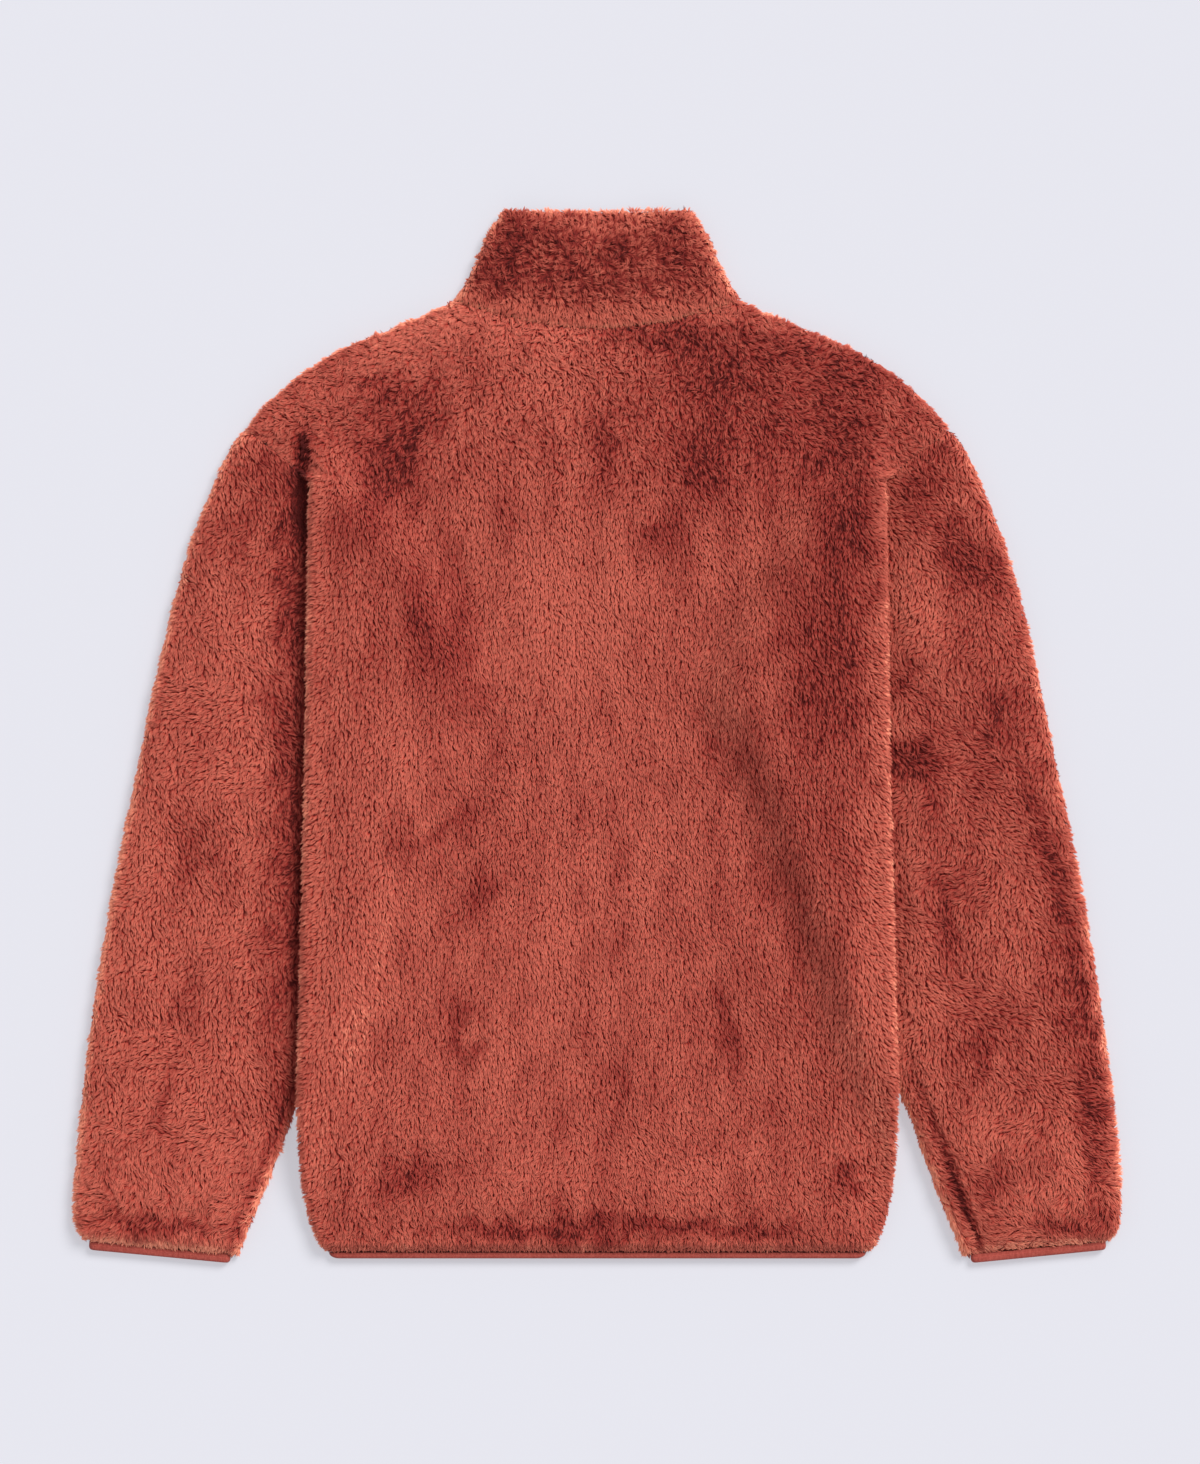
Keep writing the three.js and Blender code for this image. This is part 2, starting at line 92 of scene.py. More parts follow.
def makeLights():
    lamp = bpy.data.lights.new("windowLight", "SUN")
    lamp.energy = light["sunStrength"]
    lamp.angle = math.radians(light["sunSoftness"])
    lamp.color = light["sunColour"]
    x, y, z = light["sunFrom"]
    addObject("windowLight", lamp).rotation_euler = (0, math.atan2(math.hypot(x, y), z), math.atan2(y, x))
    world = bpy.data.worlds.new("sky")
    world.use_nodes = True
    sky = world.node_tree.nodes["Background"]
    sky.inputs["Color"].default_value = (*light["skyColour"], 1)
    sky.inputs["Strength"].default_value = light["skyStrength"]
    bpy.context.scene.world = world
    bpy.context.scene.view_settings.view_transform = "Standard"


makeCamera()
makeLights()
print("camera and lights made")


# Small helpers for forms

def smooth(t):
    t = np.clip(t, 0, 1)
    return t * t * (3 - 2 * t)


def past(value, start, reach):
    # 0 up to the start, and 1 from the start and the reach on
    return smooth((value - start) / reach)


def quarter(t):
    # Rises from 0 to 1 as a quarter of a circle does
    return np.sqrt(1 - (1 - np.clip(t, 0, 1)) ** 2)


def mix(a, b, t):
    return a + (b - a) * t


def column(table, name):
    return np.array([row[name] for row in table], float)


def readTable(table, key, value, at):
    keys, values = column(table, key), column(table, value)
    if keys[0] > keys[-1]:
        keys, values = keys[::-1], values[::-1]
    return np.interp(at, keys, values)


def rows(names, *values):
    return [dict(zip(names.split(), each)) for each in values]


# The body

cloth = {
    "pile": 7,  # mm, one layer of fleece, knit and pile together
    "layerGap": 0.5,
    "seamGap": 0.3,
    "seamDip": 2.5,
    "seamReach": 5,
    "seamFill": 0.6,  # share of the armhole seam's groove that the pile closes
    "rim": 0.25,  # mm, least half thickness at an edge
    "bound": 0.52,  # share of the thickness at a bound edge
    "boundReach": 9,
    "inset": 2.1,  # mm from the tips of the pile to the knit ground
    "frontInset": 1.2,
    "tubeInset": 0.9,  # share of the inset, on sleeves and collar
    "ground": 1.4,  # mm, the knit ground itself
    "underTape": 0.55,
}
bothLayers = 2 * cloth["pile"] + cloth["layerGap"]

body = {
    "neckHalf": 100.5,
    "neckY": 310,
    "hemY": -367.8,
    "backNeckDip": 20,
    "frontNeckDip": 62,
    "neckDipEnd": 120,
    "shoulder": (249, 217),
    "armpit": (108, 25),
    "armholeBend": 1.84,
    "seamTop": 222,
    "seamFoot": 180,
    "seamFilled": (172, 20),  # from where up and over what reach the seam's groove is filled
    "foldTop": 238,
    "foldX": 205,
    "foldWidth": 9,
    "foldFoot": 182,
    "overSleeve": bothLayers + 0.8,
    "liftReach": 40,
    "crown": 3,
    "crownReach": 26,
    "rowStep": 7.5,
    "extraRows": (217.5, 214, 190, 186, 183, 182, 178, -360, -364, -366.5),
    "columnsInside": 26,
    "shoulderLine": rows(
        "y half", (310, 100.5), (303.5, 110.5), (297.5, 126.5), (291, 140), (280.5, 168),
        (269, 192), (252, 216.5), (235, 235.3), (224, 245.3), (217, 249),
    ),
    "foldedSide": rows(
        "y half", (182, 204), (69, 205.5), (-40, 207.5), (-190, 211), (-250, 213), (-290, 211.5),
        (-315, 210), (-330, 207.5), (-344, 204.5), (-356, 200.5), (-363.5, 196.5), (-367.8, 192),
    ),
}

sleeves = {
    "sections": rows(
        "outX outY inX inY",
        (249, 217, 108, 25), (258, 208, 111, 18), (271, 182, 117, -1), (288, 139, 126, -26),
        (302, 90, 137, -57), (317, 24, 152, -98), (331, -45, 168, -142), (345, -116, 184, -186),
        (357, -187, 201, -231), (365, -250, 217, -271), (370, -302, 233, -315),
        (371.5, -338, 247, -349), (368.5, -353, 253, -363), (364, -359.5, 255.5, -369.8),
    ),
    "capFade": 0.3,
    "underarmShift": {"left": 0, "right": 4.5},
    "sign": {"left": -1, "right": 1},
    "hiddenPile": 9,  # mm inside the body's edge, no pile from there on
    "inSight": (4, 18),  # mm past the body's edge, from where and over what reach the folds show
    "rings": 64,
    "extraRings": (0.002, 0.005, 0.988, 0.996),
    "columnsInside": 18,
}


def markRows(value, *values):
    return rows("x y long wide turn " + value, *values)


folds = {
    "body": markRows(
        "high",
        (-126, 209, 90, 32, 58, -2.6), (-165, 239, 64, 20, 5, 1.8), (-41, 82, 140, 60, 100, 2.0),
        (-112, 68, 120, 44, 75, -2.0), (19, 118, 120, 28, 88, 1.3), (129, 82, 180, 44, 95, -1.8),
        (172, 196, 90, 34, -60, -2.0), (133, -92, 220, 26, 104, -1.5), (186, -138, 160, 36, 95, 1.8),
        (-101, -230, 120, 26, 90, -1.4), (12, -265, 90, 24, 90, -1.2), (79, -194, 120, 26, 85, -1.3),
        (-87, -347, 140, 20, 2, -2.2), (83, -349, 60, 18, 0, -1.6),
    ),
    "left": markRows(
        "high",
        (-272, 153, 66, 30, 60, -2.0), (-258, 61, 100, 34, 100, 1.2), (-290, -81, 60, 34, 90, -1.6),
        (-298, -187, 100, 36, 80, -1.9), (-346, -341, 30, 20, 0, -2.4), (-290, -343, 46, 20, -6, -2.4),
    ),
    "right": markRows(
        "high",
        (223, 86, 56, 22, -55, 2.4), (229, 33, 56, 24, -60, -2.6), (266, 139, 66, 28, -60, -2.0),
        (328, -138, 130, 26, -80, -2.0), (251, -131, 76, 24, -75, -1.6), (312, -300, 80, 44, 0, 1.6),
        (356, -305, 90, 20, 90, -1.8),
    ),
}

# Patches where the pile is brushed another way look darker or lighter, and the cloth dips or swells; many are
# partly painted shade and painted light: painted shade in troughs above the hem and cuffs, and painted
# highlights along folded edges
napAndPaintedLight = {
    "relief": 3.0,  # mm for a tone of 1
    "strength": 2.2,
    "body": markRows(
        "tone",
        (50, 283, 90, 26, -10, -0.34), (85, 250, 44, 28, 0, -0.24), (-148, 188, 112, 34, 65, -0.36),
        (-160, 250, 26, 9, 20, -0.30), (-150, 238, 20, 8, 40, -0.26), (8, 200, 46, 26, 90, -0.22),
        (75, 195, 50, 28, 92, -0.24), (50, 145, 52, 24, 86, -0.20), (172, 262, 112, 26, -14, -0.18),
        (175, 168, 112, 28, 90, -0.38), (163, 62, 150, 54, 92, -0.24), (130, 225, 190, 110, 0, -0.18),
        (-150, 215, 110, 90, 60, -0.08), (-114, 72, 124, 58, 104, -0.25), (-117, -70, 84, 22, 32, -0.26),
        (-85, -110, 42, 24, 70, -0.18), (-97, -210, 72, 14, 95, -0.22), (15, -250, 62, 16, 90, -0.18),
        (90, -207, 68, 16, 100, -0.22), (98, -18, 74, 22, 125, -0.13), (138, -110, 132, 22, 104, -0.11),
        (150, -60, 380, 110, 90, -0.07), (-135, -313, 54, 22, 20, -0.24), (-25, -350, 160, 16, 0, -0.38),
        (100, -349, 100, 14, 0, -0.26), (180, -313, 28, 18, 0, -0.24), (-60, 150, 60, 30, 60, -0.10),
        (-31, 83, 112, 70, 100, 0.18), (13, 95, 112, 14, 90, 0.14), (-30, 265, 62, 40, 90, 0.14),
        (-120, 285, 92, 26, 28, 0.18), (-154, -113, 62, 30, 80, 0.13), (-140, -20, 72, 36, 75, 0.12),
        (-30, -150, 112, 26, 79, 0.15), (-75, -230, 62, 24, 90, 0.13), (-175, -200, 104, 30, 88, 0.13),
        # the long marks near the sides, x about -199 and 200, are painted highlights along the body's side
        # folds
        (70, -310, 62, 30, 10, 0.12), (-199, -80, 420, 16, 90, 0.12), (200, -120, 380, 16, 89, 0.26),
        (199, -180, 180, 26, 88, 0.16), (40, -90, 120, 22, 84, 0.08), (-60, -300, 50, 22, 100, 0.08),
    ),
    "left": markRows(
        "tone",
        # the next four marks: painted shadow that the body's side fold casts on the sleeve
        (-214, 90, 290, 30, 90, -0.24), (-217, -120, 350, 32, 88, -0.26), (-211, 0, 470, 14, 90, -0.20),
        (-212, 196, 60, 26, 90, -0.24),
        (-238, 186, 38, 20, 60, -0.12), (-245, 156, 42, 22, 60, -0.14), (-270, 145, 42, 26, 60, -0.12),
        (-288, -78, 62, 30, 80, -0.16), (-290, -192, 58, 24, 90, -0.18), (-310, -260, 46, 24, 70, -0.16),
        (-312, -347, 86, 14, -3, -0.32), (-258, 61, 100, 34, 100, 0.10), (-330, -120, 90, 30, 78, 0.08),
        (-270, -290, 70, 26, 80, 0.10), (-255, -20, 90, 26, 95, 0.10),
        (-300, -200, 330, 120, 84, 0.06),
    ),
    "right": markRows(
        "tone",
        (240, 200, 32, 24, 0, -0.22), (225, 175, 38, 30, 60, -0.28), (262, 125, 58, 28, -50, -0.40),
        (223, 35, 42, 20, -60, -0.36), (223, -18, 30, 26, 0, -0.42), (285, 15, 52, 26, 90, -0.24),
        (318, -75, 112, 18, 102, -0.28), (338, -180, 132, 18, 98, -0.26), (351, -290, 112, 16, 94, -0.28),
        (247, -130, 54, 18, 97, -0.28), (270, -222, 42, 20, 80, -0.22), (280, -315, 42, 18, 70, -0.24),
        (330, -347, 54, 14, 0, -0.30), (270, -60, 420, 120, 100, -0.07), (225, 90, 52, 26, 120, 0.20),
        (228, 30, 50, 12, 58, 0.24), (290, -130, 84, 30, 95, 0.14), (230, -200, 84, 24, 90, 0.15),
        (280, -290, 52, 26, 100, 0.15), (330, -300, 52, 22, 90, 0.15),
    ),
    "collar": markRows(
        "tone",
        (-58, 350, 40, 30, 60, -0.26), (-38, 352, 44, 22, 0, -0.16), (-72, 328, 34, 24, 60, -0.24),
        (10, 345, 30, 18, 0, -0.18), (58, 340, 40, 26, 0, -0.20), (-30, 326, 70, 18, -6, -0.14),
        (35, 322, 60, 14, 10, -0.12), (0, 373, 130, 8, 0, 0.18), (78, 342, 64, 13, -68, 0.30),
        (-50, 302, 84, 11, -8, 0.20), (10, 298, 90, 12, 0, 0.24), (72, 304, 56, 11, 8, 0.16),
        (0, 342, 170, 60, 0, -0.05),
    ),
}

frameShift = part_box("back_panel")[0][1] * 1000 - body["hemY"]  # the outline's middle is the origin


def armholeX(y):
    (sx, sy), (ax, ay) = body["shoulder"], body["armpit"]
    share = np.clip((y - ay) / (sy - ay), 0, 1)
    return ax + (sx - ax) * share ** body["armholeBend"]


def bodyHalf(y):
    y = np.asarray(y, float)
    seam = armholeX(y) - cloth["seamGap"]
    folded = readTable(body["foldedSide"], "y", "half", y)
    below = np.where(y > body["foldFoot"], seam, folded)
    return np.where(y >= body["shoulder"][1], readTable(body["shoulderLine"], "y", "half", y), below)


def marksAt(marks, x, y, value):
    # Soft long marks that fade out from their middles, such as folds and patches of brushed pile with painted
    # shade and painted light
    total = np.zeros(np.broadcast(x, y).shape)
    for mark in marks:
        angle = math.radians(mark["turn"])
        dx, dy = x - mark["x"], y - mark["y"]
        along = (dx * math.cos(angle) + dy * math.sin(angle)) / (mark["long"] / 2)
        across = (dy * math.cos(angle) - dx * math.sin(angle)) / (mark["wide"] / 2)
        total += mark[value] * np.exp(-(along**2) - across**2)
    return total


def foldsAt(place, x, y):
    # The large folds, and the shallow relief under each patch of tone
    return marksAt(folds[place], x, y, "high") + napAndPaintedLight["relief"] * marksAt(napAndPaintedLight[place], x, y, "tone")


# Where the body's left side folds over the sleeve's cap, a narrow hollow dips in, and painted shade makes the
# pile in it all but black
hollow = {
    "x": -208.5,
    "wide": 13,
    "deep": 3.0,
    "top": (224, 16),  # where it ends, and over what reach it fades in
    "seam": (176, 8),
    "bottom": (128, 50),
    # painted shade on the pile in the hollow
    "tone": 0.75,
}


def hollowShare(place, x, y):
    across = (x - hollow["x"]) / (hollow["wide"] / 2)
    top, reach = hollow["top"]
    share = np.exp(-(across**2)) * smooth((top - y) / reach)
    if place == "body":
        return share * past(y, *hollow["seam"])
    return share * past(y, *hollow["bottom"]) * (place == "left")


def boundaryOf(side):
    armholeYs = mix(body["foldFoot"], body["armpit"][1], np.arange(24) / 24)
    points = [(body["foldX"] + 40, body["foldFoot"] + 40)]
    points += [(float(armholeX(y)), float(y)) for y in armholeYs]
    for i, row in enumerate(sleeves["sections"]):
        shift = sleeves["underarmShift"][side] if i else 0
        points.append((row["inX"] + shift, row["inY"]))
    return np.array(points)


boundaries = {side: boundaryOf(side) for side in ("left", "right")}


def overSleeveBy(x, y, boundary):
    nearest = np.full(x.shape, 1e9)
    for start, end in zip(boundary[:-1], boundary[1:]):
        run = end - start
        share = np.clip(((x - start[0]) * run[0] + (y - start[1]) * run[1]) / (run @ run), 0, 1)
        away = np.hypot(x - start[0] - share * run[0], y - start[1] - share * run[1])
        nearest = np.minimum(nearest, away)
    edge = np.interp(y, boundary[::-1, 1], boundary[::-1, 0])
    return np.where(x > edge, nearest, -nearest)


def liftAt(x, y):
    fadeUp = smooth((body["foldTop"] - y) / (body["foldTop"] - body["foldFoot"]))
    inside = np.where(
        x < 0,
        overSleeveBy(-x, y, boundaries["left"]),
        overSleeveBy(x, y, boundaries["right"]),
    )
    return body["overSleeve"] * smooth(1 + inside / body["liftReach"]) * fadeUp


def boundShare(y):
    return mix(cloth["bound"], 1, smooth((y - body["hemY"]) / cloth["boundReach"]) ** 0.6)


def besideSeam(y, more=0):
    # 1 along the armhole, where the panel's edge is sewn and not folded
    return smooth((body["seamTop"] + more - y) / 8) * smooth((y - (body["seamFoot"] - more)) / 6)


def panelGrid(isBack):
    top, bottom = body["neckY"], body["hemY"]
    ys = np.linspace(top, bottom, int((top - bottom) / body["rowStep"]))
    ys = np.sort(np.concatenate([ys, body["extraRows"]]))[::-1]
    half = bodyHalf(ys)
    onSeam = besideSeam(ys)
    radius = mix(bothLayers / 2, cloth["seamReach"], onSeam)
    inner = np.linspace(0, 1, body["columnsInside"] + 1)[1:]
    r, h = radius[:, None], half[:, None]
    distance = np.concatenate([r * edgeArc, r + (h - r) * inner], axis=1)
    distance = np.concatenate([distance, distance[:, -2::-1]], axis=1)
    sign = np.ones(distance.shape[1])
    sign[: distance.shape[1] // 2] = -1
    x = sign * (h - distance)
    y = np.repeat(ys[:, None], x.shape[1], axis=1)
    foldStart = np.maximum(radius + 2, half - body["foldX"] - 1)[:, None]
    onTongue = past(ys, body["foldFoot"], 8)[:, None] * (ys < body["foldTop"])[:, None]
    drop = 1 - onTongue * (1 - past(distance, foldStart, body["foldWidth"]))
    layer = cloth["pile"] * boundShare(y)
    flatShare = np.maximum(0, 1 - r / cloth["pile"])
    edge = np.maximum(cloth["rim"] / cloth["pile"], mix(flatShare, 1, quarter(distance / r)))
    edge = mix(edge, 1, cloth["seamFill"] * onSeam[:, None] * past(y, *body["seamFilled"]))
    middle = liftAt(x, y) * drop + layer + cloth["layerGap"] / 2
    across = np.maximum(0, 1 - (x / body["neckHalf"]) ** 2)
    dip = body["backNeckDip"] if isBack else body["frontNeckDip"]
    placed = y - dip * across * past(y, body["neckDipEnd"], top - body["neckDipEnd"]) + frameShift
    if not isBack:
        return np.stack([x, placed, middle - cloth["layerGap"] / 2 - layer * edge], axis=2)
    neck = 1 - cloth["seamDip"] / cloth["pile"] * (1 - quarter((top - y) / cloth["seamReach"]))
    reach = body["crownReach"]
    fade = past(distance, r, reach) * (past(y, bottom, reach) * smooth((top - y) / reach))
    rise = np.maximum(0, body["crown"] + foldsAt("body", x, placed - frameShift)) * fade
    height = middle + cloth["layerGap"] / 2 + rise + layer * edge * neck
    height -= hollow["deep"] * hollowShare("body", x, placed - frameShift)
    return np.stack([x, placed, height], axis=2)


# Sleeves

def sleeveEdges(side, t):
    table = sleeves["sections"]
    outer = np.stack([column(table, "outX"), column(table, "outY")], axis=1)
    under = np.stack([column(table, "inX"), column(table, "inY")], axis=1)
    at = t * (len(table) - 1)
    out = np.stack([smoothRead(outer[:, k], at) for k in (0, 1)], axis=1)
    low = np.stack([smoothRead(under[:, k], at) for k in (0, 1)], axis=1)
    low[:, 0] += sleeves["underarmShift"][side] * smooth(t / sleeves["capFade"])
    return out, low


def smoothRead(values, at):
    # A smooth curve that passes through evenly numbered values
    padded = np.concatenate([[2 * values[0] - values[1]], values, [2 * values[-1] - values[-2]]])
    i = np.clip(at.astype(int), 0, len(values) - 2)
    f = at - i
    a, b, c, d = (padded[i + k] for k in range(4))
    return 0.5 * (2 * b + (c - a) * f + (2 * a - 5 * b + 4 * c - d) * f**2 + (3 * b - a - 3 * c + d) * f**3)


edgeArc = 1 - np.cos(np.linspace(0, math.pi / 2, 8))  # stations round an edge


def ringDistances(width, radius, inside):
    middle = np.linspace(0, 1, inside + 1)[1:-1]
    w, r = np.asarray(width)[:, None], np.asarray(radius)[:, None]
    return np.concatenate([r * edgeArc, r + (w - 2 * r) * middle, w - r * edgeArc[::-1]], axis=1)


def ringHeights(distance, width, radius, layer, rise, seam):
    w, r = np.asarray(width)[:, None], np.asarray(radius)[:, None]
    arc = quarter(np.minimum(distance, w - distance) / r)
    middle = layer + cloth["layerGap"] / 2
    half = np.maximum(cloth["rim"], middle * arc)
    return middle + half * seam + rise * arc, middle - half


def sleeveGrid(side):
    t = np.linspace(0, 1, sleeves["rings"])
    t = np.sort(np.concatenate([t, sleeves["extraRings"]]))
    out, low = sleeveEdges(side, t)
    width = np.linalg.norm(out - low, axis=1)
    middle = (out + low) / 2
    fromSeam = np.linalg.norm(middle - middle[0], axis=1)[:, None]
    fromCuff = np.linalg.norm(middle - middle[-1], axis=1)[:, None]
    layer = cloth["pile"] * mix(cloth["bound"], 1, smooth(fromCuff / cloth["boundReach"]) ** 0.6)
    radius = layer[:, 0] + cloth["layerGap"] / 2
    distance = ringDistances(width, radius, sleeves["columnsInside"])
    s = distance / width[:, None]
    bulge = (1 - smooth(t / sleeves["capFade"]))[:, None]
    (sx, sy), (ax, ay) = body["shoulder"], body["armpit"]
    x = mix(out[:, :1], low[:, :1], s)
    x = x + bulge * (armholeX(mix(sy, ay, s)) + cloth["seamGap"] - mix(sx, ax, s))
    y = mix(out[:, 1:], low[:, 1:], s)
    signed = sleeves["sign"][side] * x
    reach = body["crownReach"]
    inSight = past(np.abs(x) - bodyHalf(y), *sleeves["inSight"]) * smooth(fromSeam / reach)
    toEdge = np.minimum(distance, width[:, None] - distance)
    offEdge = smooth(toEdge / reach) * smooth(fromCuff / reach)
    rise = np.maximum(0, body["crown"] + foldsAt(side, signed, y)) * inSight * offEdge
    deep = cloth["seamDip"] * (1 - cloth["seamFill"])
    seam = 1 - deep / bothLayers * 2 * (1 - quarter(fromSeam / cloth["seamReach"]))
    upper, lower = ringHeights(distance, width, radius, layer, rise, seam)
    groove = underarmGroove(side, distance, width[:, None], t[:, None])
    grooves["sleeve_" + side] = np.concatenate([groove, 0 * groove], axis=1)[:, :, None]
    top = np.stack([signed, y + frameShift, upper - groove], axis=2)
    under = np.stack([signed, y + frameShift, lower], axis=2)
    return np.concatenate([top, under[:, ::-1]], axis=1)


# The underarm seam shows as a parting in the pile, just above the sleeve's inner edge; painted shade darkens
# the pile along it
parting = {
    "deep": {"left": 1.8, "right": 2.8},
    "inset": {"left": 9, "right": 13},
    "wide": 5.0,
    "from": 0.62,  # share of the sleeve's length
    "fade": 0.06,
}
grooves = {}


def underarmGroove(side, distance, width, t):
    across = (width - distance - parting["inset"][side]) / (parting["wide"] / 2)
    return parting["deep"][side] * np.exp(-(across**2)) * past(t, parting["from"], parting["fade"])


# Collar

collarForm = {
    "topDipFront": 26,
    "topDipBack": 1.5,
    "topThin": 0.35,  # share of the thickness at the top edge
    "topReach": 6,
    "sag": 5,  # mm, of the back over the opening
    "sagReach": 22,
    "ringStep": 2.6,
    "columnsInside": 40,
    "outline": rows(
        "y half", (310.3, 100.8), (314.5, 98.6), (321, 94.2), (331, 89), (343, 84), (354, 79.4),
        (365, 72.4), (371, 68), (374.5, 64.5),
    ),
}


def collarGrid():
    table = collarForm["outline"]
    bottom, top = table[0]["y"], table[-1]["y"]
    ys = np.linspace(bottom, top, int((top - bottom) / collarForm["ringStep"]))
    ys = np.sort(np.concatenate([ys, [bottom + 1, top - 0.4, top - 1.2]]))
    half = readTable(table, "y", "half", ys)
    up = ((ys - bottom) / (top - bottom))[:, None]
    y = ys[:, None]
    radius = np.full(len(ys), bothLayers / 2)
    distance = ringDistances(2 * half, radius, collarForm["columnsInside"])
    x = distance - half[:, None]
    shape = np.maximum(0, 1 - (x / np.minimum(half, body["neckHalf"])[:, None]) ** 2)
    topShare = mix(collarForm["topThin"], 1, quarter((top - y) / collarForm["topReach"]))
    seam = 1 - cloth["seamDip"] / bothLayers * 2 * (1 - quarter((y - bottom) / cloth["seamReach"]))
    upper, lower = ringHeights(distance, 2 * half, radius, cloth["pile"], 0, seam * topShare)
    backY = y - mix(body["backNeckDip"], collarForm["topDipBack"], smooth(up)) * shape
    frontY = y - mix(body["frontNeckDip"], collarForm["topDipFront"], up) * shape
    beyond = smooth((backY - (top - collarForm["topDipFront"] * shape) - 1) / collarForm["sagReach"])
    back = np.stack([x, backY + frameShift, upper - collarForm["sag"] * beyond * shape], axis=2)
    front = np.stack([x, frontY + frameShift, lower], axis=2)
    return np.concatenate([back, front[:, ::-1]], axis=1)


# Meshes from grids

def outwardNormals(grid, ring, up=1):
    # up is 1 where the grid's middle column faces up and -1 where it faces down
    across = np.roll(grid, -1, axis=1) - np.roll(grid, 1, axis=1) if ring else np.gradient(grid, axis=1)
    normal = np.cross(across, np.gradient(grid, axis=0))
    normal /= np.maximum(np.linalg.norm(normal, axis=2, keepdims=True), 1e-9)
    width = grid.shape[1] // (2 if ring else 1)
    facing = normal[grid.shape[0] // 2, width // 2, 2]
    return normal * (1 if facing * up > 0 else -1)


def gridFaces(rowCount, columnCount, ring, start=0, flip=False):
    r = np.arange(rowCount - 1)[:, None] * columnCount
    c = np.arange(columnCount if ring else columnCount - 1)[None, :]
    following = (c + 1) % columnCount
    below = r + columnCount
    faces = np.stack([r + c, below + c, below + following, r + following], axis=2).reshape(-1, 4) + start
    return faces[:, ::-1] if flip else faces


def borderLoops(rowCount, columnCount, ring):
    first = np.arange(columnCount)
    last = (rowCount - 1) * columnCount + first
    if ring:
        return [np.append(first, first[0]), np.append(last, last[0])]
    left = np.arange(rowCount) * columnCount
    right = left + columnCount - 1
    return [np.concatenate([first, right[1:], last[::-1][1:], left[::-1][1:]])]


def addMesh(name, points, faces):
    count, corners = faces.shape
    mesh = bpy.data.meshes.new(name)
    mesh.vertices.add(len(points))
    mesh.vertices.foreach_set("co", (points / 1000).ravel())
    mesh.loops.add(faces.size)
    mesh.loops.foreach_set("vertex_index", faces.astype(np.int32).ravel())
    mesh.polygons.add(count)
    mesh.polygons.foreach_set("loop_start", np.arange(0, faces.size, corners, dtype=np.int32))
    mesh.polygons.foreach_set("use_smooth", np.ones(count, bool))
    mesh.update(calc_edges=True)
    made = addObject(name, mesh)
    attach(made, "root")
    return made


def thinSheet(name, upper, lower, ring, flip=None):
    # A closed sheet between two grids; with no flip given, its end walls are left as they come
    rowCount, columnCount = upper.shape[:2]
    count = rowCount * columnCount
    faces = [gridFaces(rowCount, columnCount, ring, 0, flip)]
    faces.append(gridFaces(rowCount, columnCount, ring, count, not flip))
    for i, loop in enumerate(borderLoops(rowCount, columnCount, ring)):
        wall = np.stack([loop[:-1], loop[1:], loop[1:] + count, loop[:-1] + count], axis=1)
        faces.append(wall[:, ::-1] if flip == (i == 0) else wall)
    made = addMesh(name, np.concatenate([upper, lower]).reshape(-1, 3), np.concatenate(faces))
    work = bmesh.new()
    work.from_mesh(made.data)
    bmesh.ops.recalc_face_normals(work, faces=work.faces)
    work.to_mesh(made.data)
    work.free()
    return made


def clothShell(name, outer, normals, inset, ring):
    # The knitted ground follows the outer form, below the tips of the pile
    inset = inset[:, :, None]
    upper = outer - normals * inset
    lower = upper - normals * (cloth["ground"] * inset / cloth["inset"])
    turned = np.cross(upper[1, 0] - upper[0, 0], upper[0, 1] - upper[0, 0])
    return thinSheet(name, upper, lower, ring, np.dot(turned, normals[0, 0]) < 0)


# Pile: fine pointed locks of fibre that gather into tufts

pileLook = {
    "stepAlong": 1.5,  # mm between locks, down the cloth
    "stepAcross": 0.95,
    "jitterAlong": 0.45,  # shares of these steps
    "jitterAcross": 0.42,
    "length": 5.4,
    "lengths": (0.72, 1.3),  # shares of the length, lock by lock
    "width": 1.05,
    "widths": (0.72, 1.25),
    "curl": 0.10,
    "swirl": 6,  # degrees of wandering over a few centimetres
    "tangle": 8,  # degrees of wandering over one or two centimetres
    "ruffle": 9,  # degrees of wandering over some millimetres
    "stray": 6,  # degrees, lock by lock
    "tuft": 3.1,  # mm from one tuft to the next
    "gather": 0.68,  # how far the tips of a tuft come together
    "tuftRise": 0.4,  # mm, tufts stand unevenly and are lower at their sides
    "tuftDrop": 1.5,
    "tuftShade": 0.15,
    "tuftTones": (0.4, -1.4, 0.58),  # each tuft's own, towards its sides (painted shade between tufts), for all
    "roughDark": 0.6,  # dark patches are rougher
    "rootDepth": 0.4,  # mm below the ground's surface
    "rootBack": 0.3,  # share of the length that lies behind a lock's place
    "tipLift": 0.2,
    "tipSpread": 0.34,
    "edgeLift": 0.3,
    "edgeTilt": 0.9,  # locks on an edge turn their backs up
    "edgeShorter": 0.25,
    "edgeLoose": 0.65,  # tufts on an edge don't gather, so that the outline stays soft
    "opening": 0.4,  # darker patches show more of the gaps
    "roundness": 0.5,
    "shade": 0.56,
    "shadeSpread": 0.06,
    "brightest": 0.81,  # only locks on an edge take the rim's colour, a painted highlight
    "edgeBright": 0.7,
    "limits": (0.03, 0.985),
    "floorGap": 0.12,
    "seed": 7,
}
tuftCells = {"count": 64, "scatter": 0.8}  # tufts repeat after so many; how far they stray from their cells
rng = np.random.default_rng(pileLook["seed"])
tuftTable = rng.uniform(-0.5, 0.5, (tuftCells["count"], tuftCells["count"], 4))


def waves(count, shortest, longest):
    angle = rng.uniform(0, 2 * math.pi, count)
    length = rng.uniform(shortest, longest, count)
    phase = rng.uniform(0, 2 * math.pi, count)
    return np.stack([np.cos(angle) / length, np.sin(angle) / length, phase], axis=1)


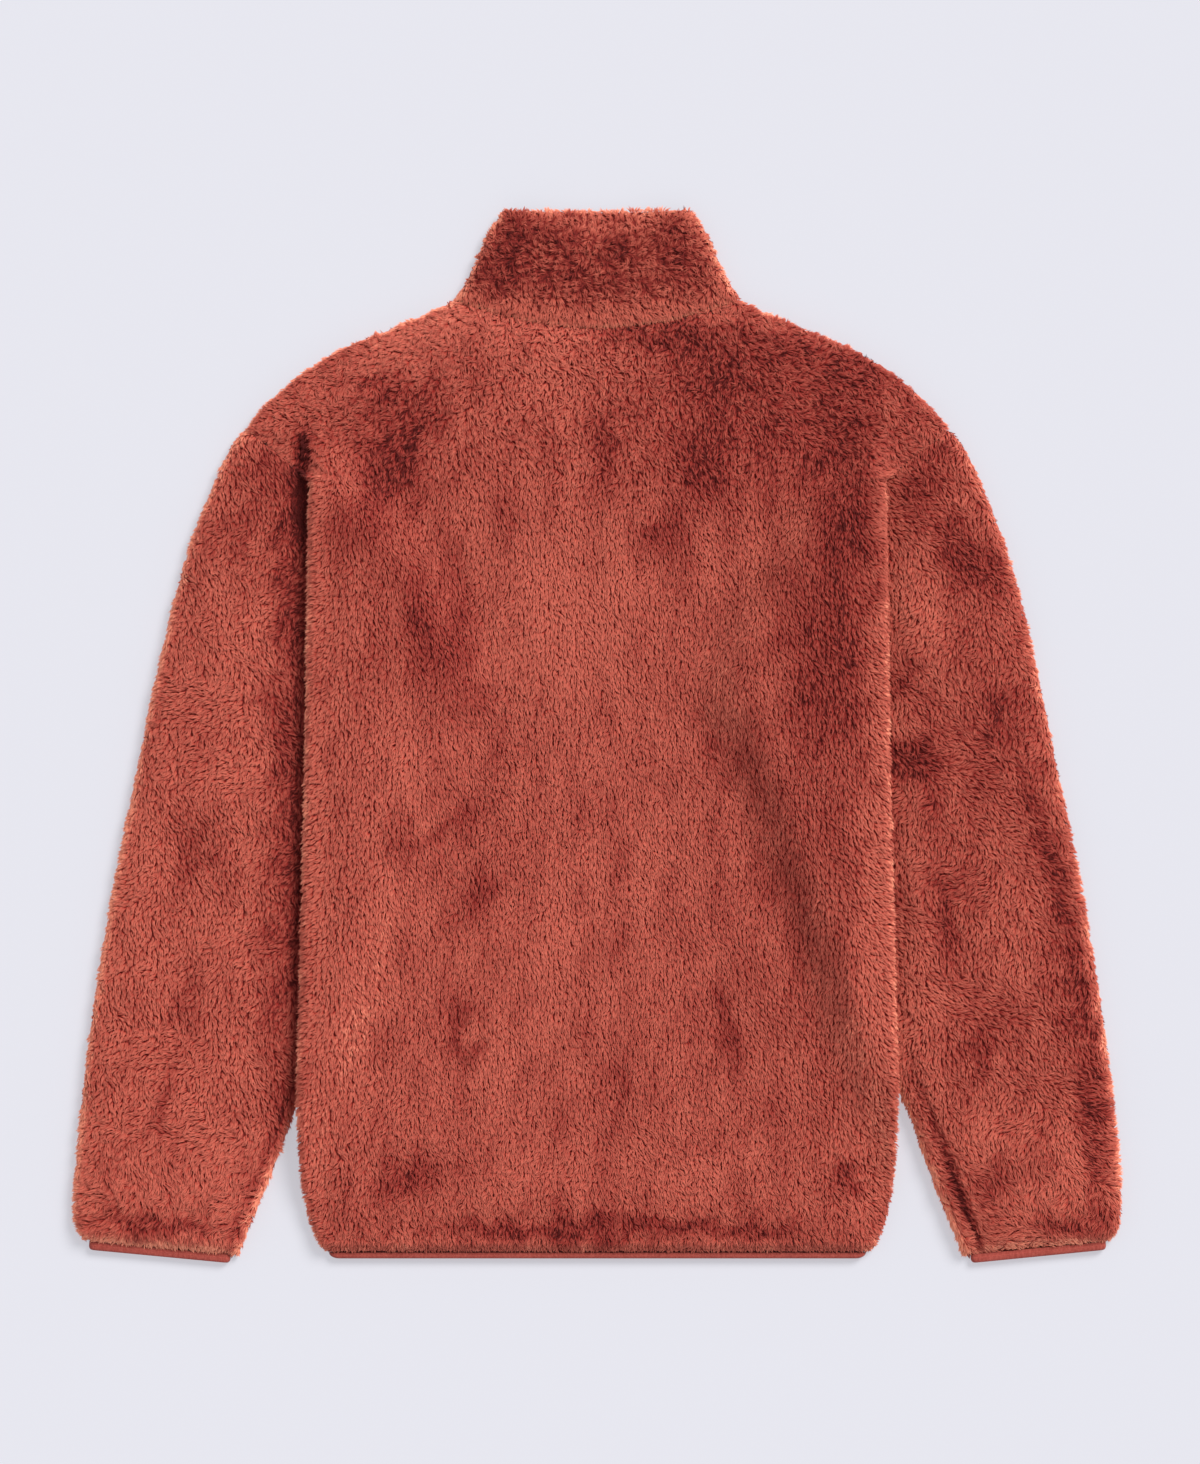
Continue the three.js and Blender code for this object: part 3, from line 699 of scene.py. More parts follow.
wandering = {
    "swirl": waves(7, 45, 130),
    "tangle": waves(9, 11, 24),
    "ruffle": waves(11, 5, 10),
    "streaks": waves(9, 9, 34),
    "blotches": waves(9, 14, 44),
    "edges": waves(9, 16, 50),
}


def waver(name, x, y):
    total = sum(np.sin(2 * math.pi * (kx * x + ky * y) + phase) for kx, ky, phase in wandering[name])
    return total / math.sqrt(len(wandering[name]) / 2)


toneAndPaintedLight = {
    "streaks": 0.055,
    "streakStretch": 0.3,
    "blotches": 0.035,
    "wander": 3.5,  # mm
    # rim and the next two: a painted highlight along the pile's steep edges, stronger on edges turned away
    # from the light
    "rim": 0.70,
    "rimSpread": 0.6,
    "rimAwayFromLight": 0.36,
    "foldRim": 0.4,  # shares of the painted rim highlight on the side folds and on the shoulders
    "shoulderRim": 1.5,
    "darkest": 0.46,
    "palest": 0.20,
    "groove": 0.28,  # painted shade, for each mm of a parting's depth
}


def softly(value, limit):
    return limit * np.tanh(value / limit)


def steepness(facing):
    return np.clip(1 - np.abs(facing[:, 2]), 0, 1)


def toneAndPaintedLightAt(place, x, y, facing):
    # Patches with uneven edges, partly painted shade and painted light; streaks down the cloth; small
    # blotches; painted shade in the hollow; and paler rims, a painted highlight that is stronger on edges
    # turned away from the light
    movedX = x + toneAndPaintedLight["wander"] * waver("edges", x, y)
    movedY = y + toneAndPaintedLight["wander"] * waver("edges", y, x)
    # painted shade and painted light of the patches, with the pile's own brushed tone
    tone = napAndPaintedLight["strength"] * marksAt(napAndPaintedLight[place], movedX, movedY, "tone")
    tone += toneAndPaintedLight["streaks"] * waver("streaks", x, y * toneAndPaintedLight["streakStretch"])
    tone += toneAndPaintedLight["blotches"] * waver("blotches", x, y)
    tone = np.where(tone > 0, softly(tone, toneAndPaintedLight["palest"]), softly(tone, toneAndPaintedLight["darkest"]))
    # painted shade in the hollow by the side fold
    tone -= hollow["tone"] * hollowShare(place, x, y) * (facing[:, 2] > 0)
    steep = steepness(facing)
    # painted highlight on the rims
    rim = toneAndPaintedLight["rim"] * steep ** toneAndPaintedLight["rimSpread"]
    rim *= 1 - toneAndPaintedLight["rimAwayFromLight"] * (facing[:, 0] + facing[:, 1])
    if place == "body":
        rim *= mix(toneAndPaintedLight["foldRim"], toneAndPaintedLight["shoulderRim"] * steep**0.7, past(y, 190, 20))
    return tone + rim


def sampleGrid(grid, atRow, atColumn, ring):
    count = grid.shape[1]
    r0 = np.clip(atRow.astype(int), 0, grid.shape[0] - 2)
    fr = (atRow - r0)[:, None]
    whole = np.floor(atColumn).astype(int)
    c0 = whole % count if ring else np.clip(whole, 0, count - 2)
    c1 = (c0 + 1) % count
    fc = (atColumn - (whole if ring else c0))[:, None]
    top = grid[r0, c0] * (1 - fc) + grid[r0, c1] * fc
    low = grid[r0 + 1, c0] * (1 - fc) + grid[r0 + 1, c1] * fc
    return top * (1 - fr) + low * fr


def scatter(grid, ring, look):
    # Places spread evenly over a grid's surface, in staggered rows with some jitter
    stepAlong, stepAcross = look["stepAlong"], look["stepAcross"]
    jitterAlong, jitterAcross = look["jitterAlong"], look["jitterAcross"]
    rowGap = np.linalg.norm(np.diff(grid, axis=0), axis=2)
    longest = rowGap.max(axis=1)
    travelled = np.concatenate([[0], np.cumsum(longest)])
    count = grid.shape[1]
    atRows, atColumns = [], []
    for i, distance in enumerate(np.arange(stepAlong * 0.4, travelled[-1], stepAlong)):
        at = float(np.interp(distance, travelled, np.arange(len(travelled))))
        r0 = min(int(at), len(longest) - 1)
        line = mix(grid[r0], grid[r0 + 1], at - r0)
        if ring:
            line = np.concatenate([line, line[:1]])
        arc = np.concatenate([[0], np.cumsum(np.linalg.norm(np.diff(line, axis=0), axis=1))])
        places = np.arange(stepAcross * (0.25 + 0.5 * (i % 2)), arc[-1], stepAcross)
        places = places + rng.uniform(-jitterAcross, jitterAcross, len(places)) * stepAcross
        columns = np.interp(np.clip(places, 0, arc[-1]), arc, np.arange(len(arc)))
        jitter = rng.uniform(-jitterAlong, jitterAlong, len(places)) * stepAlong / longest[r0]
        gap = rowGap[r0, np.minimum(columns.astype(int), count - 1)]
        kept = rng.random(len(places)) < gap / longest[r0]
        atRows.append(np.clip(at + jitter, 0, grid.shape[0] - 1.001)[kept])
        atColumns.append(columns[kept] if ring else np.clip(columns, 0, count - 1.001)[kept])
    return np.concatenate(atRows), np.concatenate(atColumns)


lockRows = rows("along high wide lean", (0.0, 0.0, 0.0, -0.5), (0.45, 0.85, 1.0, -0.15), (1.0, 1.0, 0.0, 0.1))
lockFaces = np.array([(0, 1, 2), (1, 3, 2)])


def nearestTuft(x, y, size):
    # Each place's way to the middle of its tuft, and two numbers of that tuft
    column, row = np.floor(x / size).astype(int), np.floor(y / size).astype(int)
    cells, stray = tuftCells["count"], tuftCells["scatter"]
    nearest = np.full(len(x), 1e9)
    way, own = np.zeros((len(x), 3)), np.zeros((len(x), 2))
    for i in (-1, 0, 1):
        for j in (-1, 0, 1):
            cell = tuftTable[(column + i) % cells, (row + j) % cells]
            dx = (column + i + 0.5 + stray * cell[:, 0]) * size - x
            dy = (row + j + 0.5 + stray * cell[:, 1]) * size - y
            away = np.hypot(dx, dy)
            closer = away < nearest
            nearest = np.where(closer, away, nearest)
            way[closer, 0], way[closer, 1] = dx[closer], dy[closer]
            own[closer] = 2 * cell[closer, 2:]
    return way, nearest / size, own


def unitRows(vectors):
    return vectors / np.maximum(np.linalg.norm(vectors, axis=1, keepdims=True), 1e-6)


def lockFrames(points, normals, flow, wander, look):
    # Each lock's own up, forward and side, with the pile's wandering in it
    onEdge = steepness(normals) * smooth(1 + normals[:, 2] / 0.4)
    up = unitRows(normals + np.array([0, 0, look["edgeTilt"]]) * onEdge[:, None])
    forward = unitRows(flow - up * np.sum(flow * up, axis=1, keepdims=True))
    side = np.cross(up, forward)
    x, y = points[:, 0], points[:, 1]
    turn = sum(look[name] * waver(name, x, y) for name in ("swirl", "tangle", "ruffle"))
    turn = np.radians(turn * wander + rng.normal(0, look["stray"], len(points)))[:, None]
    return up, forward * np.cos(turn) + side * np.sin(turn), side * np.cos(turn) - forward * np.sin(turn)


def growPile(name, points, normals, flow, tone, rough, longer, wander, look):
    # points lie at the height of the tips, above the roots in the knit
    count = len(points)
    up, forward, side = lockFrames(points, normals, flow, wander, look)
    onEdge = steepness(normals)
    way, away, own = nearestTuft(points[:, 0], points[:, 1], look["tuft"])
    way -= up * np.sum(way * up, axis=1, keepdims=True)
    length = look["length"] * longer * rng.uniform(*look["lengths"], count)
    length *= 1 - look["edgeShorter"] * onEdge
    width = look["width"] * rng.uniform(*look["widths"], count) * (1 + look["opening"] * np.minimum(tone, 0))
    curl = rng.normal(0, look["curl"], count)
    rough = rough * (1 + look["roughDark"] * np.clip(-tone, 0, 0.4))
    raised = look["tipLift"] + look["edgeLift"] * onEdge
    raised += look["tuftRise"] * rough * (own[:, 0] - look["tuftDrop"] * away)
    raised += rng.normal(0, look["tipSpread"], count)
    ownTone, tuftSideShade, allTone = look["tuftTones"]
    shade = look["shade"] + tone
    # painted shade towards each tuft's sides, with each tuft's own random tone
    shade += look["tuftShade"] * rough * (ownTone * own[:, 1] + tuftSideShade * away + allTone)
    darkest, brightest = look["limits"]
    brightest = np.minimum(look["brightest"] + look["edgeBright"] * onEdge, brightest)
    shade = np.clip(shade + rng.normal(0, look["shadeSpread"], count), darkest, brightest)
    gather = look["gather"] * np.minimum(rough, 1.5) * (1 - look["edgeLoose"] * onEdge)
    depth = cloth["inset"] + look["rootDepth"]
    verts, turned, alongs = [], [], []
    for row in lockRows:
        middle = (
            points
            + forward * (length * (row["along"] - look["rootBack"]))[:, None]
            + side * (curl * length * row["along"] ** 2)[:, None]
            + way * (gather * row["along"] ** 1.5)[:, None]
            + up * (mix(-depth, raised, row["high"]))[:, None]
        )
        half = (width * row["wide"] / 2)[:, None]
        for place in (-1, 1) if row["wide"] else (0,):
            verts.append(middle + side * half * place)
            turned.append(up + forward * row["lean"] + side * place * look["roundness"])
            alongs.append(row["along"])
    each = len(verts)
    cloud = np.stack(verts, axis=1).reshape(-1, 3)
    cloud[:, 2] = np.maximum(cloud[:, 2], look["floorGap"])
    uv = np.stack([np.tile(alongs, count), np.repeat(shade, each)], axis=1)
    faces = (np.arange(count)[:, None, None] * each + lockFaces[None]).reshape(-1, 3)
    made = addMesh(name, cloud, faces)
    layer = made.data.uv_layers.new(name="OFBake")
    layer.data.foreach_set("uv", np.clip(uv[faces], 0.001, 0.999).ravel())
    facing = unitRows(np.stack(turned, axis=1).reshape(-1, 3))
    made.data.normals_split_custom_set_from_vertices(facing.tolist())
    return made


# Finishes

def newGroup(name, **inputs):
    tree = bpy.data.node_groups.new(name, "ShaderNodeTree")
    outputs = {"Color": "Color", "Height": "Float", "Roughness": "Float"}
    for way, sockets in (("INPUT", inputs), ("OUTPUT", outputs)):
        for label, kind in sockets.items():
            tree.interface.new_socket(name=label, in_out=way, socket_type="NodeSocket" + kind)
    return tree, tree.nodes.new("NodeGroupInput").outputs, tree.nodes.new("NodeGroupOutput")


def fill(node, settings):
    # A setting is the value of a property or an input, or the node or socket that feeds an input
    for key, value in settings.items():
        if isinstance(value, bpy.types.Node):
            value = value.outputs[0]
        if isinstance(value, bpy.types.NodeSocket):
            node.id_data.links.new(value, node.inputs[key])
        elif isinstance(key, str) and hasattr(node, key):
            setattr(node, key, value)
        else:
            socket = node.inputs[key]
            socket.default_value = (*value, 1) if socket.type == "RGBA" else value
    return node


def addNode(tree, kind, **settings):
    return fill(tree.nodes.new("ShaderNode" + kind), settings)


def maths(tree, operation, *values, kind="Math"):
    return fill(addNode(tree, kind, operation=operation), dict(enumerate(values)))


def blend(tree, share, first, second, mode="MIX"):
    return addNode(tree, "MixRGB", blend_type=mode, Fac=share, Color1=first, Color2=second)


def ranged(tree, value, low, high, start=0.0, end=1.0):
    node = addNode(tree, "MapRange", Value=value)
    return fill(node, {"From Min": low, "From Max": high, "To Min": start, "To Max": end})


# Stops along a lock and in its shade, where its colours change
lockStops = {
    "root": 0.42,
    "tip": 0.3,
    "hidden": (0.14, 0.16),  # the shade below which a lock lies in a hollow, and what is left of its light
    # above this shade a lock takes the rim colour, a painted highlight
    "rim": 0.83,
    "fibres": (3, 70, 1),
    "dry": (0.95, 0.74),  # roughness at root and tip
}
mottleStops = {
    "grain": (0.36, 0.66),
    "grainShare": 0.72,
    "patch": (0.3, 0.7, 0.0, 0.28),
    "rough": (0.95, 0.78),
}


def lockShadeGroup():
    # Colour and fine fibres of a lock, read along it and by its own shade; the darker, redder root and the
    # Deep, Pale and Rim colours are painted shade and painted light
    tree, given, out = newGroup(
        "lockShade", Root="Color", Body="Color", Tip="Color", Deep="Color", Pale="Color", Rim="Color",
        Streaks="Float",
    )
    place = addNode(tree, "UVMap", uv_map="OFBake")
    split = addNode(tree, "SeparateXYZ", Vector=place)
    along, shade = split.outputs["X"], split.outputs["Y"]
    first = blend(tree, ranged(tree, along, 0.0, lockStops["root"]), given["Root"], given["Body"])
    second = blend(tree, ranged(tree, along, lockStops["tip"], 1.0), first, given["Tip"])
    # Deep to Pale: painted shade and painted light, with each lock's own tone
    tint = blend(tree, shade, given["Deep"], given["Pale"])
    # painted shade: locks in hollows go nearly black
    hollowShaded = blend(tree, 1.0, tint, ranged(tree, shade, 0.0, *lockStops["hidden"]), "MULTIPLY")
    # painted highlight on the rim locks
    rimHighlighted = blend(tree, ranged(tree, shade, lockStops["rim"], 1.0), hollowShaded, given["Rim"])
    dyed = blend(tree, 1.0, second, rimHighlighted, "MULTIPLY")
    stretch = addNode(tree, "Mapping", Vector=place, Scale=lockStops["fibres"])
    fibres = addNode(tree, "TexNoise", Vector=stretch, Scale=1.0, Detail=2.0)
    streaks = maths(tree, "MULTIPLY_ADD", maths(tree, "SUBTRACT", fibres, 0.5), given["Streaks"], 1.0)
    streaked = blend(tree, 1.0, dyed, streaks, "MULTIPLY")
    dry = ranged(tree, along, 0.0, 1.0, *lockStops["dry"])
    fill(out, {"Color": streaked, "Height": fibres, "Roughness": dry})
    return tree


def mottleGroup():
    # Uneven dye and a fine grain, in the object's own place
    tree, given, out = newGroup("clothMottle", Dark="Color", Light="Color", Stretch="Vector", Patch="Float")
    place = addNode(tree, "TexCoord").outputs["Object"]
    stretched = maths(tree, "MULTIPLY", place, given["Stretch"], kind="VectorMath")
    grain = addNode(tree, "TexNoise", Vector=stretched, Scale=1.0, Detail=3.0, Distortion=0.6)
    patch = addNode(tree, "TexNoise", Vector=place, Scale=given["Patch"], Detail=2.0)
    sharper = ranged(tree, grain, *mottleStops["grain"])
    wide = ranged(tree, patch, *mottleStops["patch"])
    both = maths(tree, "MULTIPLY_ADD", sharper, mottleStops["grainShare"], wide)
    colour = blend(tree, both, given["Dark"], given["Light"])
    rough = ranged(tree, sharper, 0.0, 1.0, *mottleStops["rough"])
    fill(out, {"Color": colour, "Height": sharper, "Roughness": rough})
    return tree


lockShade = lockShadeGroup()
clothMottle = mottleGroup()

# rim is the colour of a painted highlight; deep and pale tint painted shade and painted light; the darker
# root is painted shade deep in the pile
pileFinish = {"group": lockShade, "bump": 0.35, "bumpDeep": 0.0004, "sheen": 0.22, "sheenRough": 0.45,
              "sheenTint": (1.0, 0.5, 0.4), "streaks": 0.5, "rim": (1.95, 3.5, 3.2)}
knitFinish = {"group": clothMottle, "bumpDeep": 0.0012, "sheen": 0.1, "sheenRough": 0.5,
              "sheenTint": (1, 1, 1)}
finishes = {
    "bodyPile": {**pileFinish, "root": (0.53, 0.024, 0.018), "body": (0.49, 0.078, 0.052),
                 "tip": (0.60, 0.130, 0.088), "deep": (0.49, 0.12, 0.16), "pale": (1.37, 1.68, 1.63)},
    "collarPile": {**pileFinish, "root": (0.29, 0.019, 0.014), "body": (0.45, 0.073, 0.048),
                   "tip": (0.60, 0.125, 0.085), "deep": (0.45, 0.09, 0.12), "pale": (1.34, 1.60, 1.54)},
    # the ground is darker than the locks: painted shade of the gaps between them, with uneven dye
    "ground": {**knitFinish, "dark": (0.19, 0.013, 0.010), "light": (0.29, 0.026, 0.019),
               "stretch": (420, 170, 420), "patch": 22.0, "bump": 0.9},
    "tape": {**knitFinish, "dark": (0.33, 0.052, 0.038), "light": (0.50, 0.098, 0.072),
             "stretch": (900, 260, 900), "patch": 60.0, "bump": 0.15},
    "thread": {**knitFinish, "dark": (0.36, 0.06, 0.045), "light": (0.56, 0.12, 0.09),
               "stretch": (1500, 1500, 1500), "patch": 90.0, "bump": 0.2},
}


def newMaterial(name):
    material = bpy.data.materials.new(name)
    material.use_nodes = True
    return material, material.node_tree.nodes["Principled BSDF"]


def clothMaterial(name):
    look = finishes[name]
    material, shader = newMaterial(name)
    group = addNode(material.node_tree, "Group", node_tree=look["group"])
    fill(group, {socket.name: look[socket.name.lower()] for socket in group.inputs})
    bump = addNode(material.node_tree, "Bump", Strength=look["bump"], Distance=look["bumpDeep"],
                   Height=group.outputs["Height"])
    fill(shader, {
        "Base Color": group.outputs["Color"],
        "Roughness": group.outputs["Roughness"],
        "Normal": bump,
        "Specular IOR Level": 0.25,
        "Sheen Weight": look["sheen"],
        "Sheen Roughness": look["sheenRough"],
        "Sheen Tint": look["sheenTint"],
    })
    return material


materials = {name: clothMaterial(name) for name in finishes}
print("materials made")


def dress(made, material):
    made.data.materials.append(materials[material])
    return made


def makeFloor():
    half = floorLook["size"] / 2000
    mesh = bpy.data.meshes.new("floor")
    corners = [(-half, -half, 0), (half, -half, 0), (half, half, 0), (-half, half, 0)]
    mesh.from_pydata(corners, [], [(0, 1, 2, 3)])
    material, shader = newMaterial("paleFloor")
    fill(shader, {
        "Base Color": floorLook["colour"],
        "Emission Color": floorLook["glow"],
        "Emission Strength": 1.0,
        "Roughness": floorLook["roughness"],
        "Specular IOR Level": 0.0,
    })
    mesh.materials.append(material)
    addObject("floor", mesh)


makeFloor()


# Cloth pieces

grids = {
    "back_panel": panelGrid(True),
    "front_panel": panelGrid(False),
    "sleeve_left": sleeveGrid("left"),
    "sleeve_right": sleeveGrid("right"),
    "collar": collarGrid(),
}
rings = {"sleeve_left", "sleeve_right", "collar"}
outward = {
    name: outwardNormals(grid, name in rings, -1 if name == "front_panel" else 1)
    for name, grid in grids.items()
}


def panelInset(grid, inset):
    # The knit comes up to the armhole seam and to the bound hem
    x, y = np.abs(grid[:, :, 0]), grid[:, :, 1] - frameShift
    atSeam = np.clip(1 - (bodyHalf(y) - x) / cloth["seamReach"], 0, 1)
    return inset * boundShare(y) * (1 - 0.85 * besideSeam(y, 2) * atSeam)


# The sleeve's cap goes on into the body as a seam allowance, which slopes down under the side fold
tuck = {
    "reach": 6,  # mm, at the armhole
    "slope": 24,  # mm, under the fold
    "foot": 2.4,  # mm, the height where the slope ends
    "level": (0.7, 0.9),  # how nearly the end has one height, at the armhole and under the fold
}


def tuckedEnd(grid):
    inward = (grid[0] - grid[2]) * np.array([1, 1, 0])
    under = smooth((body["foldFoot"] + 4 - (grid[0, :, 1] - frameShift)) / 12)
    lip = grid[0] + unitRows(inward) * mix(tuck["reach"], tuck["slope"], under)[:, None]
    middle = (grid[0, :, 2].max() + grid[0, :, 2].min()) / 2
    lip[:, 2] = mix(lip[:, 2], mix(middle, tuck["foot"], under), mix(*tuck["level"], under))
    return lip[None]


def sewnEnd(grid):
    # The cloth's raw edge goes on to the tape
    return (grid[-1] + unitRows(grid[-1] - grid[-3]) * cloth["underTape"])[None]


insets = dict.fromkeys(rings, cloth["inset"] * cloth["tubeInset"])
insets["back_panel"] = panelInset(grids["back_panel"], cloth["inset"])
insets["front_panel"] = panelInset(grids["front_panel"], cloth["frontInset"])
for name, grid in grids.items():
    normals, inset = outward[name], np.broadcast_to(np.asarray(insets[name], float), grid.shape[:2])
    tucked, sewn = name.startswith("sleeve"), name != "collar"
    grid = np.concatenate([tuckedEnd(grid)] * tucked + [grid] + [sewnEnd(grid)] * sewn)
    more = ((int(tucked), int(sewn)), (0, 0))
    normals, inset = np.pad(normals, (*more, (0, 0)), "edge"), np.pad(inset, more, "edge")
    shell = clothShell(name + "_cloth", grid, normals, inset, name in rings)
    dress(shell, "ground")
    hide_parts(name)


# Pile pieces

def evenly(x, y):
    return 1.0


def pileOn(panel, piece, place, keep, flow, material="bodyPile", wander=evenly, longer=evenly, rough=evenly,
           **changes):
    look = {**pileLook, **changes}
    grid, ring = grids[panel], panel in rings
    at = scatter(grid, ring, look)
    points = sampleGrid(grid, *at, ring)
    facing = sampleGrid(outward[panel], *at, ring)
    kept = keep(points[:, 0], points[:, 1] - frameShift, facing)
    points, facing = points[kept], unitRows(facing[kept])
    x, y = points[:, 0], points[:, 1] - frameShift
    tone = toneAndPaintedLightAt(place, x, y, facing)
    # painted shade along the underarm parting
    if panel in grooves:
        tone -= toneAndPaintedLight["groove"] * sampleGrid(grooves[panel], *at, ring)[kept, 0]
    runs = np.stack([*flow(x, y, facing), np.zeros(len(x))], axis=1)
    made = growPile(piece, points, facing, runs, tone, rough(x, y), longer(x, y), wander(x, y), look)
    made.data.materials.append(materials[material])
    print(piece, len(points), "locks", len(made.data.polygons), "faces")
    return made


# The nap runs down the body, and out over its edges and shoulders
bodyNap = {"spread": 0.16, "outward": 1.3, "outwardReach": 13, "overShoulder": 1.6, "shoulder": (175, 90)}
shoulders = (150, 90)  # from where up and over what reach the body's pile is curlier


def bodyFlow(x, y, facing):
    toEdge = np.abs(bodyHalf(y) - np.abs(x))
    outward = bodyNap["outward"] * np.exp(-((toEdge / bodyNap["outwardReach"]) ** 2))
    onShoulder = past(y, *bodyNap["shoulder"]) * smooth(np.abs(x) / 150 - 0.4)
    across = bodyNap["spread"] * x / 200 + np.sign(x) * (outward + bodyNap["overShoulder"] * onShoulder)
    return across + 0.2 * facing[:, 0], -1 + 0.5 * onShoulder + 0.4 * facing[:, 1]


def collarFlow(x, y, facing):
    # Down over the neck seam, up over the top edge, outward at the sides and tangled between
    up = (y - 290) / (collarForm["outline"][-1]["y"] - 290)
    across = 0.2 + 0.5 * facing[:, 0] + 0.5 * x / 80 + 0.4 * np.sin(x / 17) * past(up, 0.15, 0.2)
    return across, -1 + 2.1 * past(up, 0.55, 0.4) + 0.4 * facing[:, 1]


def flatFlow(x, y, facing):
    return np.zeros(len(x)), -np.ones(len(x))


bare = {"hem": 0.9, "collarTop": 1.2, "cuff": 0.25}  # mm without pile at these edges
flatBelow = -0.97  # a surface that faces down this much rests on the floor
shortReach = 9  # mm, over which the pile grows short towards a binding


def onUnderside(facing):
    return facing[:, 2] < flatBelow


def clearOfHem(x, y, facing):
    return y > body["hemY"] + bare["hem"]


def belowTop(x, y, facing):
    return y < collarForm["outline"][-1]["y"] - bare["collarTop"]


def aboveHem(y):
    return past(y, body["hemY"], shortReach)


def fromCuff(side, x, y):
    cuff = sleeves["sections"][-1]
    start = np.array([cuff["outX"], cuff["outY"]])
    run = np.array([cuff["inX"] + sleeves["underarmShift"][side], cuff["inY"]]) - start
    away = np.array([run[1], -run[0]]) / np.hypot(*run)
    away = away if away[1] > 0 else -away
    return (np.abs(x) - start[0]) * away[0] + (y - start[1]) * away[1]


def aboveSeam(x, y, start=300):
    # The pile just above the curved neck seam is long and hangs straight
    return past(y - 12 * (x / 100) ** 2, start, 14)


def roughBody(x, y):
    # Tufts are stronger on the shoulders and towards the sides than down the middle, and weak at the hem
    calm = 0.3 + 0.7 * aboveHem(y)
    toSide = past(np.abs(x), 110, 80) * smooth((150 - y) / 90)
    return calm + 0.8 * past(y, *shoulders) + 0.4 * toSide


bodyPile = {
    "flow": bodyFlow,
    "wander": lambda x, y: 1 + 1.8 * past(y, *shoulders) + 0.6 * past(-y, 230, 90),
    "rough": roughBody,
    "longer": lambda x, y: 0.5 + 0.5 * aboveHem(y),
}
sleevePile = {"swirl": 24, "tangle": 18, "ruffle": 10, "stray": 8}
collarPile = {
    "flow": collarFlow,
    "wander": lambda x, y: 0.25 + 0.75 * aboveSeam(x, y),
    "rough": lambda x, y: 1.1 + 0.6 * aboveSeam(x, y),
    "longer": lambda x, y: 1.35 - 0.35 * aboveSeam(x, y, 296),
    "material": "collarPile",
    "swirl": 50, "tangle": 40, "ruffle": 20, "stray": 14, "length": 4.8, "curl": 0.2,
    "tuft": 3.8, "tuftShade": 0.22, "tuftRise": 0.5, "gather": 0.8, "edgeLoose": 0.9,
}
pressedPile = {
    "flow": flatFlow,
    "stepAlong": 3.4, "stepAcross": 2.9, "length": 7.0, "width": 4.2, "tipLift": 0.0,
    "tipSpread": 0.15, "tuftRise": 0.0, "tuft": 6.0, "gather": 0.3, "edgeLift": 0.0,
}
backBands = {"upper": (120, 400), "middle": (-60, 120), "lower": (-240, -60), "hem": (-400, -240)}


def pilePair(panel, pieces, place, keep, look, **pressed):
    # The locks that show, and the pressed ones where the cloth rests on the floor
    seen, under = pieces
    return [
        pileOn(panel, seen, place, lambda x, y, facing: keep(x, y, facing) & ~onUnderside(facing), **look),
        pileOn(panel, under, place, lambda x, y, facing: keep(x, y, facing) & onUnderside(facing),
               **pressedPile, **pressed),
    ]


def sleevePiles(side):
    panel, sign = "sleeve_" + side, sleeves["sign"][side]

    def aboveCuff(x, y):
        return smooth(fromCuff(side, x, y) / shortReach)

    def lowArm(y):
        # Longer and rougher on the lower arm
        return 1 + 0.3 * past(-y, 250, 90)

    def longer(x, y):
        return lowArm(y) * (0.6 + 0.4 * aboveCuff(x, y))

    def rough(x, y):
        return (lowArm(y) + 0.5) * (0.3 + 0.7 * aboveCuff(x, y))

    def flow(x, y, facing):
        across = sign * (0.25 + 0.5 * past(-y, 200, 150)) + 0.7 * facing[:, 0]
        return across, -1 + 0.4 * facing[:, 1]

    def keep(x, y, facing):
        outside = np.abs(x) > bodyHalf(y) - sleeves["hiddenPile"]
        return (fromCuff(side, x, y) > bare["cuff"]) & (outside | onUnderside(facing))

    look = {**sleevePile, "flow": flow, "longer": longer, "rough": rough}
    return pilePair(panel, (panel + "_pile", panel + "_pile_under"), side, keep, look, longer=longer)


piles = {
    "back_panel": [
        pileOn("back_panel", "back_pile_" + band, "body",
               lambda x, y, facing: (y >= low) & (y < high) & clearOfHem(x, y, facing), **bodyPile)
        for band, (low, high) in backBands.items()
    ],
    "front_panel": pilePair("front_panel", ("front_pile_edge", "front_pile_under"), "body", clearOfHem,
                            bodyPile, longer=bodyPile["longer"]),
    "collar": pilePair("collar", ("collar_pile", "collar_pile_under"), "collar", belowTop, collarPile),
}
for side in sleeves["sign"]:
    piles["sleeve_" + side] = sleevePiles(side)


# Bindings: a folded tape over each raw edge, with one row of stitches

tape = {
    "layer": 3.5,
    "floorGap": 0.1,
    "shares": (0, 0.2, 0.29, 0.34, 0.39, 0.5, 0.68, 0.82, 0.92, 0.98, 1),
    "crease": 0.9,  # mm, where the tape is turned over the cloth's edge
    "creaseAt": 0.34,
    "creaseStep": 0.45,  # share of the crease that stays above it
    "columnsInside": 22,
    "roundFrom": 0.5,
    "leastThick": 0.12,
    "stitchStep": 3.1,
    "stitchLong": 2.2,
    "threadThick": 0.42,
    "stitch": ((-0.5, 0.2), (-0.36, 0.9), (0.0, 1.0), (0.36, 0.9), (0.5, 0.2)),  # along it, and how thick
}
# The corners' rounding starts at a share of the tape's height; the stitches lie at another share
cuffTape = {"high": 6.2, "corner": 2.5, "cornerFrom": 0.5, "cornerRound": 1, "line": 0.46, "stitchInset": 3}
hemTape = {"high": 4.3, "corner": 7, "cornerFrom": 0, "cornerRound": 0.96, "line": 0.5, "stitchInset": 11}
cuffInsets = {"outer": 2.6, "inner": 5.2}
hemHalf = 191


